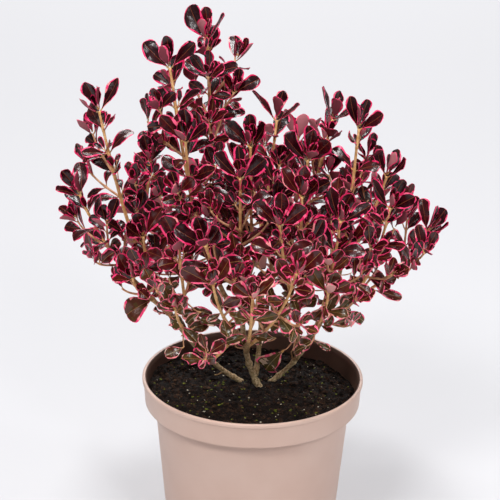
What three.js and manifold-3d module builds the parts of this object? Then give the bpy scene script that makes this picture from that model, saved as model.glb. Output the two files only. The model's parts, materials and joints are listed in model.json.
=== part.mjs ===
// A small-leaved shrub in a round plastic pot.
// Millimetres, +Z up. The origin is the middle of the pot's flat underside, and -Y is the front.
// The plant stands in peat. Four short stems fork into boughs, and each bough carries one or more
// masses of foliage: a leading twig with short side shoots and leaves in opposite pairs.

import * as THREE from 'three';
import { mergeVertices } from 'three/addons/utils/BufferGeometryUtils.js';
import Module from 'manifold-3d';

const wasm = await Module();
wasm.setup();

// Clearance between pieces that meet.
const GAP = 0.3;

// Pot: a nursery pot of 15 cm across, with a collar below its lip and drain holes in its floor.
const POT_HEIGHT = 130;
const LIP_RADIUS = 75;
const LIP_WIDTH = 2.4;
const BEAD_HEIGHT = 2.6;
const BEAD_SLOPE = 1;
const BEAD_ROUNDING = 0.8;
const COLLAR_HEIGHT = 18;
const COLLAR_TOP_RADIUS = 74.1;
const COLLAR_FOOT_RADIUS = 73.1;
const COLLAR_WALL = 2.5;
const WALL_TOP_RADIUS = 66.5;
const WALL_FOOT_RADIUS = 56.2;
const WALL = 1.7;
const POT_FLOOR = 2.2;
const FOOT_ROUNDING = 1.5;
const POT_SIDES = 24;
const DRAIN_HOLES = 6;
const DRAIN_HOLE_RADIUS = 4;
const DRAIN_HOLE_REACH = 40;
const DRAIN_HOLE_SIDES = 6;
const DRAIN_DRILL_LENGTH = 8;

// Peat: level round the stems, and sloping a little towards the wall.
const SOIL_TOP = 120;
const SOIL_LEVEL_RADIUS = 30;
const SOIL_EDGE_RADIUS = 70.4;
const SOIL_SHOULDER = 6;
const SOIL_SHOULDER_DROP = 1;
const SOIL_EDGE_DROP = 2;
const SOIL_RISE_TO_LEFT = 3.2;
const SOIL_RISE_TO_FRONT = 1.2;
const SOIL_SIDES = 24;

// Wood: radii at the foot and the tip of each kind of limb.
const STEM_FOOT_RADIUS = 2.8;
const STEM_TIP_RADIUS = 2.1;
const STEM_FLARE = 0.45;
const STEM_FLARE_HEIGHT = 4;
const BOUGH_FOOT_RADIUS = 1.75;
const BOUGH_TIP_RADIUS = 1.25;
const TWIG_FOOT_RADIUS = 1.5;
const TWIG_TIP_RADIUS = 1.0;
const SIDE_TWIG_TIP_RADIUS = 0.8;
const LIMB_SIDES = 6;
const TWIG_SIDES = 3;
const LIMB_STEP = 15;
const TWIG_STEP = 20;
const LINE_STEP = 2;
const FRAME_COUNT = 24;

// How a shoot bends: it leaves flatter than its chord and ends more upright.
const LEAVE_OUTWARD = 0.35;
const ARRIVE_UPWARD = 0.7;

// Foliage: lengths along a shoot, then leaves.
const LEAFY_LENGTH = 78;
const MOST_LEAFY_SHARE = 0.62;
const BARE_FOOT = 12;
const NODE_SPACING = 13;
const SIDE_SHOOT_LENGTHS = [34, 27, 21];
const SIDE_SHOOT_SPREAD = 0.2;
const SIDE_SHOOT_TURNS = 8;
const SIDE_SHOOT_ANGLE = 44;
const SIDE_SHOOT_FIRST = 0.2;
const SIDE_SHOOT_LAST = 0.62;
const SIDE_SHOOT_SPACING = 16;
const MOST_SIDE_SHOOTS = 2;
const LEAF_SIZES = [34, 28, 23, 18];
const ROSETTE_SIZES = [24, 19];
const HEART_SIZES = [22, 17];
const LEAF_WIDTH_SHARE = 0.56;
const LEAF_WIDEST = 0.6;
const LEAF_CREST = 0.22;
const LEAF_THICKNESS = 1.4;
const LEAF_FOLD = 1.6;
const LEAF_SINK = 0.2;
const LEAF_ANGLE = 48;
const ROSETTE_ANGLE = 42;
const ANGLE_SPREAD = 10;
const HEART_ANGLE = 8;
const HEART_RISE = 3;
const TWIG_PAST_HEART = 1.5;

// Space: how clear foliage stays of its neighbours, of wood and of its own leaves, how far it
// reaches beyond its shoot's tip, how wide the low part of the crown is, and how its underside
// rises towards the front.
const SPACE_MARGIN = 0.8;
const LIMB_MARGIN = 1.4;
const LEAF_MARGIN = 4.5;
const TWIG_MARGIN = 3;
const MOST_BEYOND = 15;
const MOST_ABOVE = 24;
const LOWEST_LEAF = 16;
const LOWEST_LEAF_RISE = 0.41;
const LOW_CROWN_HEIGHT = 90;
const LOW_CROWN_FOOT_RADIUS = 34;
const LOW_CROWN_SPREAD = 0.9;

// Stems, from the peat to the fork: foot and top, in millimetres from the middle of the pot at the
// top of the peat.
const STEMS = {
  centre: { foot: [4, 4], top: [-10, -2, 78] },
  left: { foot: [-10, 12], top: [-52, 0, 50] },
  right: { foot: [14.5, 13], top: [46, 6, 50] },
  back: { foot: [2, 22], top: [6, 34, 62] },
};

// Boughs: the stem that each leaves, how far up that stem, where its shoot ends, and its side
// shoots, each with how far up the bough it leaves and where it ends.
const BOUGHS = {
  top: { stem: 'centre', at: 1, tip: [-33, 5, 243], sides: [] },
  top_left: { stem: 'centre', at: 0.62, tip: [-56, -10, 229], sides: [[0.75, [-45, -35, 188]]] },
  upper: { stem: 'centre', at: 0.88, tip: [13, 15, 187], sides: [[0.6, [-4, -10, 177]]] },
  front_upper: { stem: 'centre', at: 0.75, tip: [-10, -45, 168], sides: [[0.6, [-31, -75, 134]]] },
  front_low_left: { stem: 'centre', at: 0.5, tip: [-26, -80, 110], sides: [[0.4, [-31, -60, 49]]] },
  front_low: { stem: 'centre', at: 0.36, tip: [-1, -85, 104], sides: [[0.6, [26, -80, 118]]] },
  left_upper: {
    stem: 'left',
    at: 0.8,
    tip: [-102, 0, 196],
    sides: [[0.8, [-69, -10, 164]], [0.5, [-72, -32, 122]]],
  },
  left_low: { stem: 'left', at: 1, tip: [-114, -15, 144], sides: [[0.5, [-79, -35, 94]]] },
  front_left: { stem: 'left', at: 0.6, tip: [-48, -60, 126], sides: [[0.6, [-50, -65, 86]]] },
  right_low: { stem: 'right', at: 1, tip: [114, 0, 116], sides: [[0.6, [87, -20, 140]]] },
  right_top: { stem: 'right', at: 0.85, tip: [66, 0, 187], sides: [[0.8, [86, 10, 151]]] },
  front_right: { stem: 'right', at: 0.65, tip: [54, -45, 140], sides: [[0.6, [47, -60, 97]]] },
  front: { stem: 'right', at: 0.4, tip: [29, -50, 158], sides: [[0.7, [15, -70, 146]]] },
  right_upper: { stem: 'back', at: 1, tip: [50, 30, 183], sides: [[0.7, [33, -15, 170]]] },
};

// Boughs of the back, by rule: they fan out behind the stems, each with a lower side shoot.
const BACK_BOUGHS = 4;
const BACK_FIRST_ANGLE = 30;
const BACK_ANGLE_STEP = 39;
const BACK_REACH = [92, 80, 84, 95];
const BACK_HEIGHT = [118, 152, 150, 106];
const BACK_FORK = [0.5, 0.9, 0.75, 0.6];
const BACK_SIDE_REACH = 98;
const BACK_SIDE_HEIGHT = 90;
const BACK_SIDE_FORK = 0.5;

// Finish of the pieces.
const POT_COLOUR = 0xc8aca0;
const SOIL_COLOUR = 0x231a16;
const WOOD_COLOUR = 0x9c7f55;
const LEAF_COLOURS = [0x5a1b2c, 0x6a2034, 0x4a1826, 0x74283a];
const POT_ROUGHNESS = 0.6;
const SOIL_ROUGHNESS = 0.95;
const WOOD_ROUGHNESS = 0.8;
const LEAF_ROUGHNESS = 0.4;

const UP = new THREE.Vector3(0, 0, 1);
const GOLDEN_ANGLE = Math.PI * (3 - Math.sqrt(5));
const radians = THREE.MathUtils.degToRad;
const vector = (numbers) => new THREE.Vector3(...numbers);

// A stream of numbers from 0 to 1 that is the same for the same seed.
function seeded(seed) {
  let state = Math.imul(seed + 1, 2654435761) >>> 0;
  const next = () => {
    state = (Math.imul(state, 1664525) + 1013904223) >>> 0;
    return state / 4294967296;
  };
  next();
  next();
  return next;
}

// A closed geometry as a solid that can be joined and cut, and a solid as a geometry.
function solidOf(geometry) {
  const bare = geometry.clone();
  bare.deleteAttribute('normal');
  bare.deleteAttribute('uv');
  const merged = mergeVertices(bare, 1e-4);
  return new wasm.Manifold(
    new wasm.Mesh({
      numProp: 3,
      vertProperties: new Float32Array(merged.attributes.position.array),
      triVerts: new Uint32Array(merged.index.array),
    }),
  );
}

function geometryOf(solid) {
  const mesh = solid.getMesh();
  const geometry = new THREE.BufferGeometry();
  geometry.setAttribute('position', new THREE.BufferAttribute(mesh.vertProperties, 3));
  geometry.setIndex(new THREE.BufferAttribute(mesh.triVerts, 1));
  geometry.computeVertexNormals();
  return geometry;
}

// The main body of a solid: sealed hollows are filled and loose scraps dropped.
function mainBody(solid) {
  const bodies = solid.decompose();
  return bodies.reduce((best, body) => (body.volume() > best.volume() ? body : best));
}

// A profile turned about the upright axis, with the middle of a flat to the front.
function turned(profile, sides) {
  const points = profile.map(([radius, height]) => new THREE.Vector2(radius, height));
  return new THREE.LatheGeometry(points, sides, Math.PI / sides).rotateX(Math.PI / 2);
}

// Radius inside the pot's wall at a height.
function insideRadius(height) {
  const share = height / (POT_HEIGHT - COLLAR_HEIGHT);
  return THREE.MathUtils.lerp(WALL_FOOT_RADIUS, WALL_TOP_RADIUS, share) - WALL;
}

function pot() {
  const collarFoot = POT_HEIGHT - COLLAR_HEIGHT;
  const beadFoot = POT_HEIGHT - BEAD_HEIGHT;
  const stepHeight = collarFoot - WALL;
  const shell = solidOf(
    turned(
      [
        [0, 0],
        [WALL_FOOT_RADIUS - FOOT_ROUNDING, 0],
        [WALL_FOOT_RADIUS, FOOT_ROUNDING],
        [WALL_TOP_RADIUS, collarFoot],
        [COLLAR_FOOT_RADIUS, collarFoot],
        [COLLAR_TOP_RADIUS, beadFoot - BEAD_SLOPE],
        [LIP_RADIUS, beadFoot],
        [LIP_RADIUS, POT_HEIGHT - BEAD_ROUNDING],
        [LIP_RADIUS - BEAD_ROUNDING, POT_HEIGHT],
        [LIP_RADIUS - LIP_WIDTH, POT_HEIGHT],
        [COLLAR_TOP_RADIUS - COLLAR_WALL, beadFoot],
        [COLLAR_FOOT_RADIUS - COLLAR_WALL, collarFoot + WALL],
        [insideRadius(stepHeight), stepHeight],
        [insideRadius(POT_FLOOR), POT_FLOOR],
        [0, POT_FLOOR],
      ],
      POT_SIDES,
    ),
  );
  let drained = shell;
  for (let hole = 0; hole < DRAIN_HOLES; hole += 1) {
    const angle = ((hole + 0.5) / DRAIN_HOLES) * Math.PI * 2;
    const drill = new THREE.CylinderGeometry(
      DRAIN_HOLE_RADIUS,
      DRAIN_HOLE_RADIUS,
      DRAIN_DRILL_LENGTH,
      DRAIN_HOLE_SIDES,
    );
    drill.rotateX(Math.PI / 2);
    drill.translate(DRAIN_HOLE_REACH * Math.cos(angle), DRAIN_HOLE_REACH * Math.sin(angle), 0);
    drained = drained.subtract(solidOf(drill));
  }
  return geometryOf(drained);
}

// How far the peat stands above or below its level middle.
function soilRise(x, y) {
  const reach = Math.hypot(x, y);
  const share = THREE.MathUtils.clamp(
    (reach - SOIL_LEVEL_RADIUS) / (SOIL_EDGE_RADIUS - SOIL_LEVEL_RADIUS),
    0,
    1,
  );
  return (-x * SOIL_RISE_TO_LEFT - y * SOIL_RISE_TO_FRONT) * (share / SOIL_EDGE_RADIUS);
}

function soil() {
  const floor = POT_FLOOR + GAP;
  const stepHeight = POT_HEIGHT - COLLAR_HEIGHT - WALL;
  const collarInside = COLLAR_FOOT_RADIUS - COLLAR_WALL;
  const fill = turned(
    [
      [0, floor],
      [insideRadius(floor) - GAP, floor],
      [insideRadius(stepHeight) - GAP, stepHeight],
      [collarInside - GAP, stepHeight + 2 * WALL + GAP],
      [SOIL_EDGE_RADIUS, SOIL_TOP - SOIL_EDGE_DROP],
      [SOIL_EDGE_RADIUS - SOIL_SHOULDER, SOIL_TOP - SOIL_SHOULDER_DROP],
      [(SOIL_LEVEL_RADIUS + SOIL_EDGE_RADIUS) / 2, SOIL_TOP],
      [SOIL_LEVEL_RADIUS, SOIL_TOP],
      [0, SOIL_TOP],
    ],
    SOIL_SIDES,
  );
  const place = fill.attributes.position;
  for (let index = 0; index < place.count; index += 1) {
    if (place.getZ(index) > SOIL_TOP - SOIL_EDGE_DROP - GAP) {
      const rise = soilRise(place.getX(index), place.getY(index));
      place.setZ(index, place.getZ(index) + rise);
    }
  }
  return geometryOf(solidOf(fill));
}

// The bent line of a shoot from where it leaves to its tip.
function shootCurve(start, tip) {
  const chord = tip.clone().sub(start);
  const third = chord.length() / 3;
  const along = chord.clone().normalize();
  const outward = new THREE.Vector3(chord.x, chord.y, 0).normalize();
  const leave = along.clone().addScaledVector(outward, LEAVE_OUTWARD).normalize();
  const arrive = along.clone().addScaledVector(UP, ARRIVE_UPWARD).normalize();
  return new THREE.CubicBezierCurve3(
    start,
    start.clone().addScaledVector(leave, third),
    tip.clone().addScaledVector(arrive, -third),
    tip,
  );
}

// Part of a curve as points with a frame at each: across and beside are square to along.
function framesAlong(curve, from, to, steps) {
  const frames = [];
  let across = new THREE.Vector3(1, 0, 0);
  for (let step = 0; step <= steps; step += 1) {
    const t = THREE.MathUtils.lerp(from, to, step / steps);
    const along = curve.getTangent(t);
    across = across.clone().addScaledVector(along, -across.dot(along)).normalize();
    const beside = across.clone().cross(along);
    frames.push({ point: curve.getPoint(t), along, across, beside });
  }
  return frames;
}

// A tapering limb round a row of frames. A limb that stands on the peat is cut level there.
function limbGeometry(frames, radiusAt, sides, levelFoot) {
  const steps = frames.length - 1;
  const geometry = new THREE.CylinderGeometry(1, 1, 1, sides, steps);
  const place = geometry.attributes.position;
  const moved = new THREE.Vector3();
  for (let index = 0; index < place.count; index += 1) {
    const ring = Math.round((place.getY(index) + 0.5) * steps);
    const frame = frames[ring];
    const radius = radiusAt(ring / steps, frame);
    moved.copy(frame.point);
    moved.addScaledVector(frame.across, place.getX(index) * radius);
    moved.addScaledVector(frame.beside, place.getZ(index) * radius);
    if (levelFoot && ring === 0) {
      moved.addScaledVector(frame.along, (frame.point.z - moved.z) / frame.along.z);
    }
    place.setXYZ(index, moved.x, moved.y, moved.z);
  }
  return geometry;
}

const taper = (foot, tip) => (share) => THREE.MathUtils.lerp(foot, tip, share);

// The same limb grown by the clearance on every side, for cutting what meets it.
function clearanceRound(frames, radiusAt, sides) {
  const grown = frames.map((frame) => ({ ...frame, point: frame.point.clone() }));
  grown[0].point.addScaledVector(grown[0].along, -GAP);
  grown[frames.length - 1].point.addScaledVector(grown[frames.length - 1].along, GAP);
  return solidOf(limbGeometry(grown, (share, frame) => radiusAt(share, frame) + GAP, sides, false));
}

const stepsFor = (length, step) => Math.max(2, Math.round(length / step));

// Every limb keeps its middle line, for leaves and twigs to stay clear of.
const limbs = [];
const plant = new THREE.Group();
plant.position.z = SOIL_TOP + GAP;

function addMesh(group, name, geometry, colour, roughness) {
  const material = new THREE.MeshStandardMaterial({ color: colour, roughness, metalness: 0 });
  const mesh = new THREE.Mesh(geometry, material);
  mesh.name = name;
  group.add(mesh);
}

function stemRadius(share, frame) {
  const flare = 1 + STEM_FLARE * Math.exp(-frame.point.z / STEM_FLARE_HEIGHT);
  return THREE.MathUtils.lerp(STEM_FOOT_RADIUS, STEM_TIP_RADIUS, share) * flare;
}

function addLimb(name, curve, to, radiusAt, levelFoot) {
  const steps = stepsFor(curve.getLength() * to, LIMB_STEP);
  const frames = framesAlong(curve, 0, to, steps);
  const clearance = clearanceRound(frames, radiusAt, LIMB_SIDES);
  let solid = solidOf(limbGeometry(frames, radiusAt, LIMB_SIDES, levelFoot));
  for (const other of limbs) {
    solid = solid.subtract(other.clearance);
  }
  limbs.push({ clearance, line: sampled(curve, 0, to), radius: radiusAt(0, frames[0]) });
  addMesh(plant, name, geometryOf(mainBody(solid)), WOOD_COLOUR, WOOD_ROUGHNESS);
}

// Points at short steps along part of a curve.
function sampled(curve, from, to) {
  const count = Math.ceil((curve.getLength() * (to - from)) / LINE_STEP);
  return framesAlong(curve, from, to, count).map((frame) => frame.point);
}

function nearest(point, line) {
  let best = Infinity;
  for (const other of line) {
    best = Math.min(best, point.distanceToSquared(other));
  }
  return Math.sqrt(best);
}

const stemCurves = {};
for (const [place, stem] of Object.entries(STEMS)) {
  const foot = vector([...stem.foot, 0]);
  const curve = shootCurve(foot, vector(stem.top));
  stemCurves[place] = curve;
  addLimb(`stem_${place}`, curve, 1, stemRadius, true);
}

function backBoughs() {
  const rows = {};
  for (let index = 0; index < BACK_BOUGHS; index += 1) {
    const angle = radians(BACK_FIRST_ANGLE + BACK_ANGLE_STEP * index);
    const sideAngle = angle + radians(BACK_ANGLE_STEP / 2);
    const reach = BACK_REACH[index];
    const tip = [reach * Math.cos(angle), reach * Math.sin(angle), BACK_HEIGHT[index]];
    const side = [
      BACK_SIDE_REACH * Math.cos(sideAngle),
      BACK_SIDE_REACH * Math.sin(sideAngle),
      BACK_SIDE_HEIGHT,
    ];
    const sides = index < BACK_BOUGHS - 1 ? [[BACK_SIDE_FORK, side]] : [];
    rows[`back_${index + 1}`] = { stem: 'back', at: BACK_FORK[index], tip, sides };
  }
  return rows;
}

// Masses: each has a leading twig, whose line is the middle of the space that the mass keeps to.
const masses = [];
for (const [place, bough] of Object.entries({ ...BOUGHS, ...backBoughs() })) {
  const curve = shootCurve(stemCurves[bough.stem].getPoint(bough.at), vector(bough.tip));
  const leafy = Math.min(LEAFY_LENGTH / curve.getLength(), MOST_LEAFY_SHARE);
  const split = 1 - leafy;
  addLimb(`bough_${place}`, curve, split, taper(BOUGH_FOOT_RADIUS, BOUGH_TIP_RADIUS), false);
  const start = split + GAP / curve.getLength();
  masses.push({ name: `foliage_${place}`, curve, from: start });
  bough.sides.forEach(([share, tip], index) => {
    const sideCurve = shootCurve(curve.getPoint(split * share), vector(tip));
    masses.push({ name: `foliage_${place}_side_${index + 1}`, curve: sideCurve, from: 0 });
  });
}
for (const mass of masses) {
  mass.line = sampled(mass.curve, mass.from, 1);
}

// How far the crown lets a mass reach: a little beyond its shoot's tip, and less far out low down.
function inCrown(point, mass) {
  const tip = mass.curve.v3;
  const outward = new THREE.Vector3(tip.x, tip.y, 0).normalize();
  const beyond = (point.x - tip.x) * outward.x + (point.y - tip.y) * outward.y;
  const lowLimit = LOW_CROWN_FOOT_RADIUS + LOW_CROWN_SPREAD * point.z;
  const lowFits = point.z > LOW_CROWN_HEIGHT || Math.hypot(point.x, point.y) < lowLimit;
  const lowest = LOWEST_LEAF + LOWEST_LEAF_RISE * Math.max(0, -point.y);
  const level = point.z > lowest && point.z < tip.z + MOST_ABOVE;
  return beyond < MOST_BEYOND && level && lowFits;
}

// A point is free for a mass where it is nearer to that mass's leading twig than to any other,
// within the crown and clear of the wood.
function isFree(point, mass) {
  if (!inCrown(point, mass)) {
    return false;
  }
  const own = nearest(point, mass.line);
  const inSpace = masses.every(
    (other) => other === mass || nearest(point, other.line) > own + SPACE_MARGIN * 2,
  );
  return inSpace && limbs.every((limb) => nearest(point, limb.line) > limb.radius + LIMB_MARGIN);
}

// A leaf: a folded blade, widest beyond its middle, with its root sunk in the twig.
function leafPoints(root, along, upper, length) {
  const across = upper.clone().cross(along);
  const at = (forward, sideways, height) =>
    root
      .clone()
      .addScaledVector(along, forward)
      .addScaledVector(across, sideways)
      .addScaledVector(upper, height);
  const half = (length * LEAF_WIDTH_SHARE) / 2;
  const widest = length * LEAF_WIDEST;
  const crest = length * LEAF_CREST;
  return {
    tip: at(length, 0, 0),
    root: at(-LEAF_SINK, 0, 0),
    left: at(widest, half, LEAF_FOLD),
    right: at(widest, -half, LEAF_FOLD),
    upper: at(crest, 0, LEAF_THICKNESS / 2),
    lower: at(crest, 0, -LEAF_THICKNESS / 2),
    middle: at(widest, 0, 0),
  };
}

function leafSolid(points) {
  const geometry = new THREE.OctahedronGeometry(1, 0);
  const place = geometry.attributes.position;
  for (let index = 0; index < place.count; index += 1) {
    const x = Math.round(place.getX(index));
    const y = Math.round(place.getY(index));
    const z = Math.round(place.getZ(index));
    let to = x > 0 ? points.tip : points.root;
    if (y !== 0) {
      to = y > 0 ? points.left : points.right;
    }
    if (z !== 0) {
      to = z > 0 ? points.upper : points.lower;
    }
    place.setXYZ(index, to.x, to.y, to.z);
  }
  return solidOf(geometry);
}

// One leaf where it fits, in the largest size that stays in the space.
function tryLeaf(mass, frame, turn, angle, sizes) {
  const outward = frame.across
    .clone()
    .multiplyScalar(Math.cos(turn))
    .addScaledVector(frame.beside, Math.sin(turn));
  const along = frame.along
    .clone()
    .multiplyScalar(Math.cos(angle))
    .addScaledVector(outward, Math.sin(angle));
  const upper = frame.along.clone().addScaledVector(along, -frame.along.dot(along)).normalize();
  for (const size of sizes) {
    const points = leafPoints(frame.point, along, upper, size);
    const reach = [points.tip, points.left, points.right, points.middle];
    const fits = reach.every(
      (point) =>
        isFree(point, mass) &&
        nearest(point, mass.twigs) > TWIG_MARGIN &&
        nearest(point, mass.blades) > LEAF_MARGIN,
    );
    if (fits) {
      mass.blades.push(...reach);
      return [leafSolid(points)];
    }
  }
  return [];
}

// The leaves of one shoot: opposite pairs, each pair square to the last, and a rosette at the tip.
function leavesOn(mass, curve, from, to, bareFoot, random) {
  const length = curve.getLength() * (to - from);
  const pairs = Math.max(0, Math.floor((length - bareFoot) / NODE_SPACING));
  const solids = [];
  const firstTurn = random() * Math.PI;
  const frames = framesAlong(curve, from, to, FRAME_COUNT);
  for (let pair = 0; pair < pairs; pair += 1) {
    const share = (bareFoot + pair * NODE_SPACING) / length;
    const frame = frames[Math.round(share * FRAME_COUNT)];
    for (const side of [0, Math.PI]) {
      const turn = firstTurn + (pair * Math.PI) / 2 + side;
      const angle = radians(LEAF_ANGLE + ANGLE_SPREAD * (random() - 0.5));
      solids.push(...tryLeaf(mass, frame, turn, angle, LEAF_SIZES));
    }
  }
  const tip = frames[FRAME_COUNT];
  for (const side of [0, Math.PI]) {
    const turn = firstTurn + (pairs * Math.PI) / 2 + side;
    const angle = radians(ROSETTE_ANGLE + ANGLE_SPREAD * (random() - 0.5));
    solids.push(...tryLeaf(mass, tip, turn, angle, ROSETTE_SIZES));
  }
  const heart = { ...tip, point: tip.point.clone().addScaledVector(tip.along, HEART_RISE) };
  const heartTurn = firstTurn + ((pairs + 1) * Math.PI) / 2;
  solids.push(...tryLeaf(mass, heart, heartTurn, radians(HEART_ANGLE), HEART_SIZES));
  return solids;
}

// A twig that runs a little past its tip, to carry the heart of the rosette.
function twigSolid(curve, from, foot, tip) {
  const steps = stepsFor(curve.getLength() * (1 - from), TWIG_STEP);
  const frames = framesAlong(curve, from, 1, steps);
  const last = frames[steps];
  last.point = last.point.clone().addScaledVector(last.along, HEART_RISE + TWIG_PAST_HEART);
  return solidOf(limbGeometry(frames, taper(foot, tip), TWIG_SIDES, false));
}

// A side shoot in the first direction and the greatest length that fit in the mass's space.
function trySideShoot(mass, frame, firstTurn, scale) {
  const angle = radians(SIDE_SHOOT_ANGLE);
  for (const length of SIDE_SHOOT_LENGTHS) {
    for (let attempt = 0; attempt < SIDE_SHOOT_TURNS; attempt += 1) {
      const turn = firstTurn + (attempt / SIDE_SHOOT_TURNS) * Math.PI * 2;
      const direction = frame.along
        .clone()
        .multiplyScalar(Math.cos(angle))
        .addScaledVector(frame.across, Math.sin(angle) * Math.cos(turn))
        .addScaledVector(frame.beside, Math.sin(angle) * Math.sin(turn));
      const tip = frame.point.clone().addScaledVector(direction, length * scale);
      const curve = shootCurve(frame.point, tip);
      const beyond = tip.clone().addScaledVector(curve.getTangent(1), ROSETTE_SIZES[1]);
      if ([beyond, tip, curve.getPoint(0.5)].every((point) => isFree(point, mass))) {
        return curve;
      }
    }
  }
  return null;
}

// The side shoots of a mass, spread round and along its leading twig.
function sideShoots(mass, random) {
  const shoots = [];
  const length = mass.curve.getLength() * (1 - mass.from);
  const frames = framesAlong(mass.curve, mass.from, 1, FRAME_COUNT);
  const firstTurn = random() * Math.PI * 2;
  const room = Math.floor((length - BARE_FOOT) / SIDE_SHOOT_SPACING);
  const wanted = Math.min(MOST_SIDE_SHOOTS, room);
  for (let index = 0; index < wanted; index += 1) {
    const place = index / Math.max(1, wanted - 1);
    const share = THREE.MathUtils.lerp(SIDE_SHOOT_FIRST, SIDE_SHOOT_LAST, place);
    const turn = firstTurn + index * GOLDEN_ANGLE;
    const frame = frames[Math.round(share * FRAME_COUNT)];
    const shoot = trySideShoot(mass, frame, turn, 1 - SIDE_SHOOT_SPREAD * random());
    if (shoot !== null) {
      shoots.push(shoot);
    }
  }
  return shoots;
}

masses.forEach((mass, number) => {
  const random = seeded(number);
  const shoots = sideShoots(mass, random);
  mass.twigs = [mass.line, ...shoots.map((shoot) => sampled(shoot, 0, 1))].flat();
  mass.blades = [];
  const solids = [twigSolid(mass.curve, mass.from, TWIG_FOOT_RADIUS, TWIG_TIP_RADIUS)];
  solids.push(...leavesOn(mass, mass.curve, mass.from, 1, BARE_FOOT, random));
  for (const shoot of shoots) {
    solids.push(twigSolid(shoot, 0, TWIG_TIP_RADIUS, SIDE_TWIG_TIP_RADIUS));
    solids.push(...leavesOn(mass, shoot, 0, 1, BARE_FOOT, random));
  }
  let joined = solids.reduce((whole, solid) => whole.add(solid));
  for (const limb of limbs) {
    joined = joined.subtract(limb.clearance);
  }
  const colour = LEAF_COLOURS[number % LEAF_COLOURS.length];
  addMesh(plant, mass.name, geometryOf(mainBody(joined)), colour, LEAF_ROUGHNESS);
});

const pottedShrub = new THREE.Group();
addMesh(pottedShrub, 'pot', pot(), POT_COLOUR, POT_ROUGHNESS);
addMesh(pottedShrub, 'soil', soil(), SOIL_COLOUR, SOIL_ROUGHNESS);
pottedShrub.add(plant);

export default pottedShrub;
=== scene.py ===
# %% [markdown]
# # A potted eclipse coprosma
# The plant is a small evergreen shrub: plum-black glossy leaves with a crimson-pink margin, in
# opposite pairs on thin tan shoots, in a round taupe nursery pot filled with peat.
# A measured model gives the frame: the pot, the peat, the stems, the boughs and one solid for each
# mass of foliage. This lesson hides those solids and grows the plant's real detail in their place,
# inside the same reach, so that every piece still sits where the measured model has it.

import json
import math

import bpy
import numpy as np
from mathutils import Matrix, Vector, noise

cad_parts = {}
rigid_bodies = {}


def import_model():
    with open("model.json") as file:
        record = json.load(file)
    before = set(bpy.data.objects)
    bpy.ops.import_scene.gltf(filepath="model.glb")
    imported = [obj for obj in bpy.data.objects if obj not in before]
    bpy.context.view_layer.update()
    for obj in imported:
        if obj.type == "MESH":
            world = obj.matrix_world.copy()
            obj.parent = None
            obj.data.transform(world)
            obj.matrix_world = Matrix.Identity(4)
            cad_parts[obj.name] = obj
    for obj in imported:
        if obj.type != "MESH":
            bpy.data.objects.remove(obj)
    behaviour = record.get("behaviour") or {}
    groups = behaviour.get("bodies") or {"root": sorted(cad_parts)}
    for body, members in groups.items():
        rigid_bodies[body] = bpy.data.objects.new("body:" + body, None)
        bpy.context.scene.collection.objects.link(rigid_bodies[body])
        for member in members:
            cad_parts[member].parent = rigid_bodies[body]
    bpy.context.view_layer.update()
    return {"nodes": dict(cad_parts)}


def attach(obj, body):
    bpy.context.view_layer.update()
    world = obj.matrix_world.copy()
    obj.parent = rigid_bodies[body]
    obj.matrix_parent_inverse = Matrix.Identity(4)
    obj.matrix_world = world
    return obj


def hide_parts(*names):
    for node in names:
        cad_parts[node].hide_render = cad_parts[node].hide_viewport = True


for extra in list(bpy.data.objects):
    bpy.data.objects.remove(extra)
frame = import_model()
node_names = sorted(frame["nodes"])

# %% [markdown]
# ## The camera
# The photograph looks down on the pot from in front. The pot's lip is a circle, so the ellipse that
# it makes in the picture gives the camera's height, and the sides of the wall give its small roll.
# A long lens, about 141 mm on a 36 mm sensor, keeps the pot's sides nearly straight, as a product
# photographer likes it.

# %% Place the camera
MM = 0.001
CAMERA_AIM = Vector((-3.202, 0.0, 221.647)) * MM
CAMERA_DISTANCE = 1300 * MM
CAMERA_ELEVATION = math.radians(22.09)
CAMERA_ROLL = math.radians(-0.948)
PICTURE_SIDE = 500
FOCAL_PIXELS = 1959.776
SENSOR_WIDTH = 36.0


def camera_axes():
    """The camera's right, up and backward directions."""
    right = Vector((1, 0, 0))
    back = Vector((0, -math.cos(CAMERA_ELEVATION), math.sin(CAMERA_ELEVATION)))
    up = back.cross(right)
    turned_right = right * math.cos(CAMERA_ROLL) - up * math.sin(CAMERA_ROLL)
    turned_up = right * math.sin(CAMERA_ROLL) + up * math.cos(CAMERA_ROLL)
    return turned_right, turned_up, back


camera_data = bpy.data.cameras.new("camera")
camera_data.sensor_width = SENSOR_WIDTH
camera_data.lens = FOCAL_PIXELS * SENSOR_WIDTH / PICTURE_SIDE
camera_data.clip_start = 0.05
camera_data.clip_end = 50
camera = bpy.data.objects.new("camera", camera_data)
bpy.context.scene.collection.objects.link(camera)
axes = camera_axes()
camera.matrix_world = Matrix.Translation(CAMERA_AIM + axes[2] * CAMERA_DISTANCE) @ Matrix(
    [[axes[column][row] for column in range(3)] for row in range(3)]
).to_4x4()
bpy.context.scene.camera = camera
print("lens", round(camera_data.lens, 1), "mm, camera at", tuple(camera.matrix_world.translation))

# %% [markdown]
# ## Helpers for colours, nodes and meshes
# Colours are picked as sRGB hex values, as a designer would read them off a swatch. Blender mixes
# light in linear values, so one function turns a hex value to linear. One more adds a node with its
# settings and its links, so that each material reads as a short recipe.

# %% Colour and node helpers


def linear_colour(hex_value):
    """An sRGB hex value such as #c8aca0 as linear red, green, blue and alpha."""
    parts = [int(hex_value[start : start + 2], 16) / 255 for start in (1, 3, 5)]
    linear = [part / 12.92 if part <= 0.04045 else ((part + 0.055) / 1.055) ** 2.4 for part in parts]
    return (*linear, 1.0)


def add_node(tree, kind, settings=None, links=None):
    """A node with settings on its sockets, and links to them."""
    node = tree.nodes.new(kind)
    for name, value in (settings or {}).items():
        node.inputs[name].default_value = value
    for name, source in (links or {}).items():
        tree.links.new(source, node.inputs[name])
    return node


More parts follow.
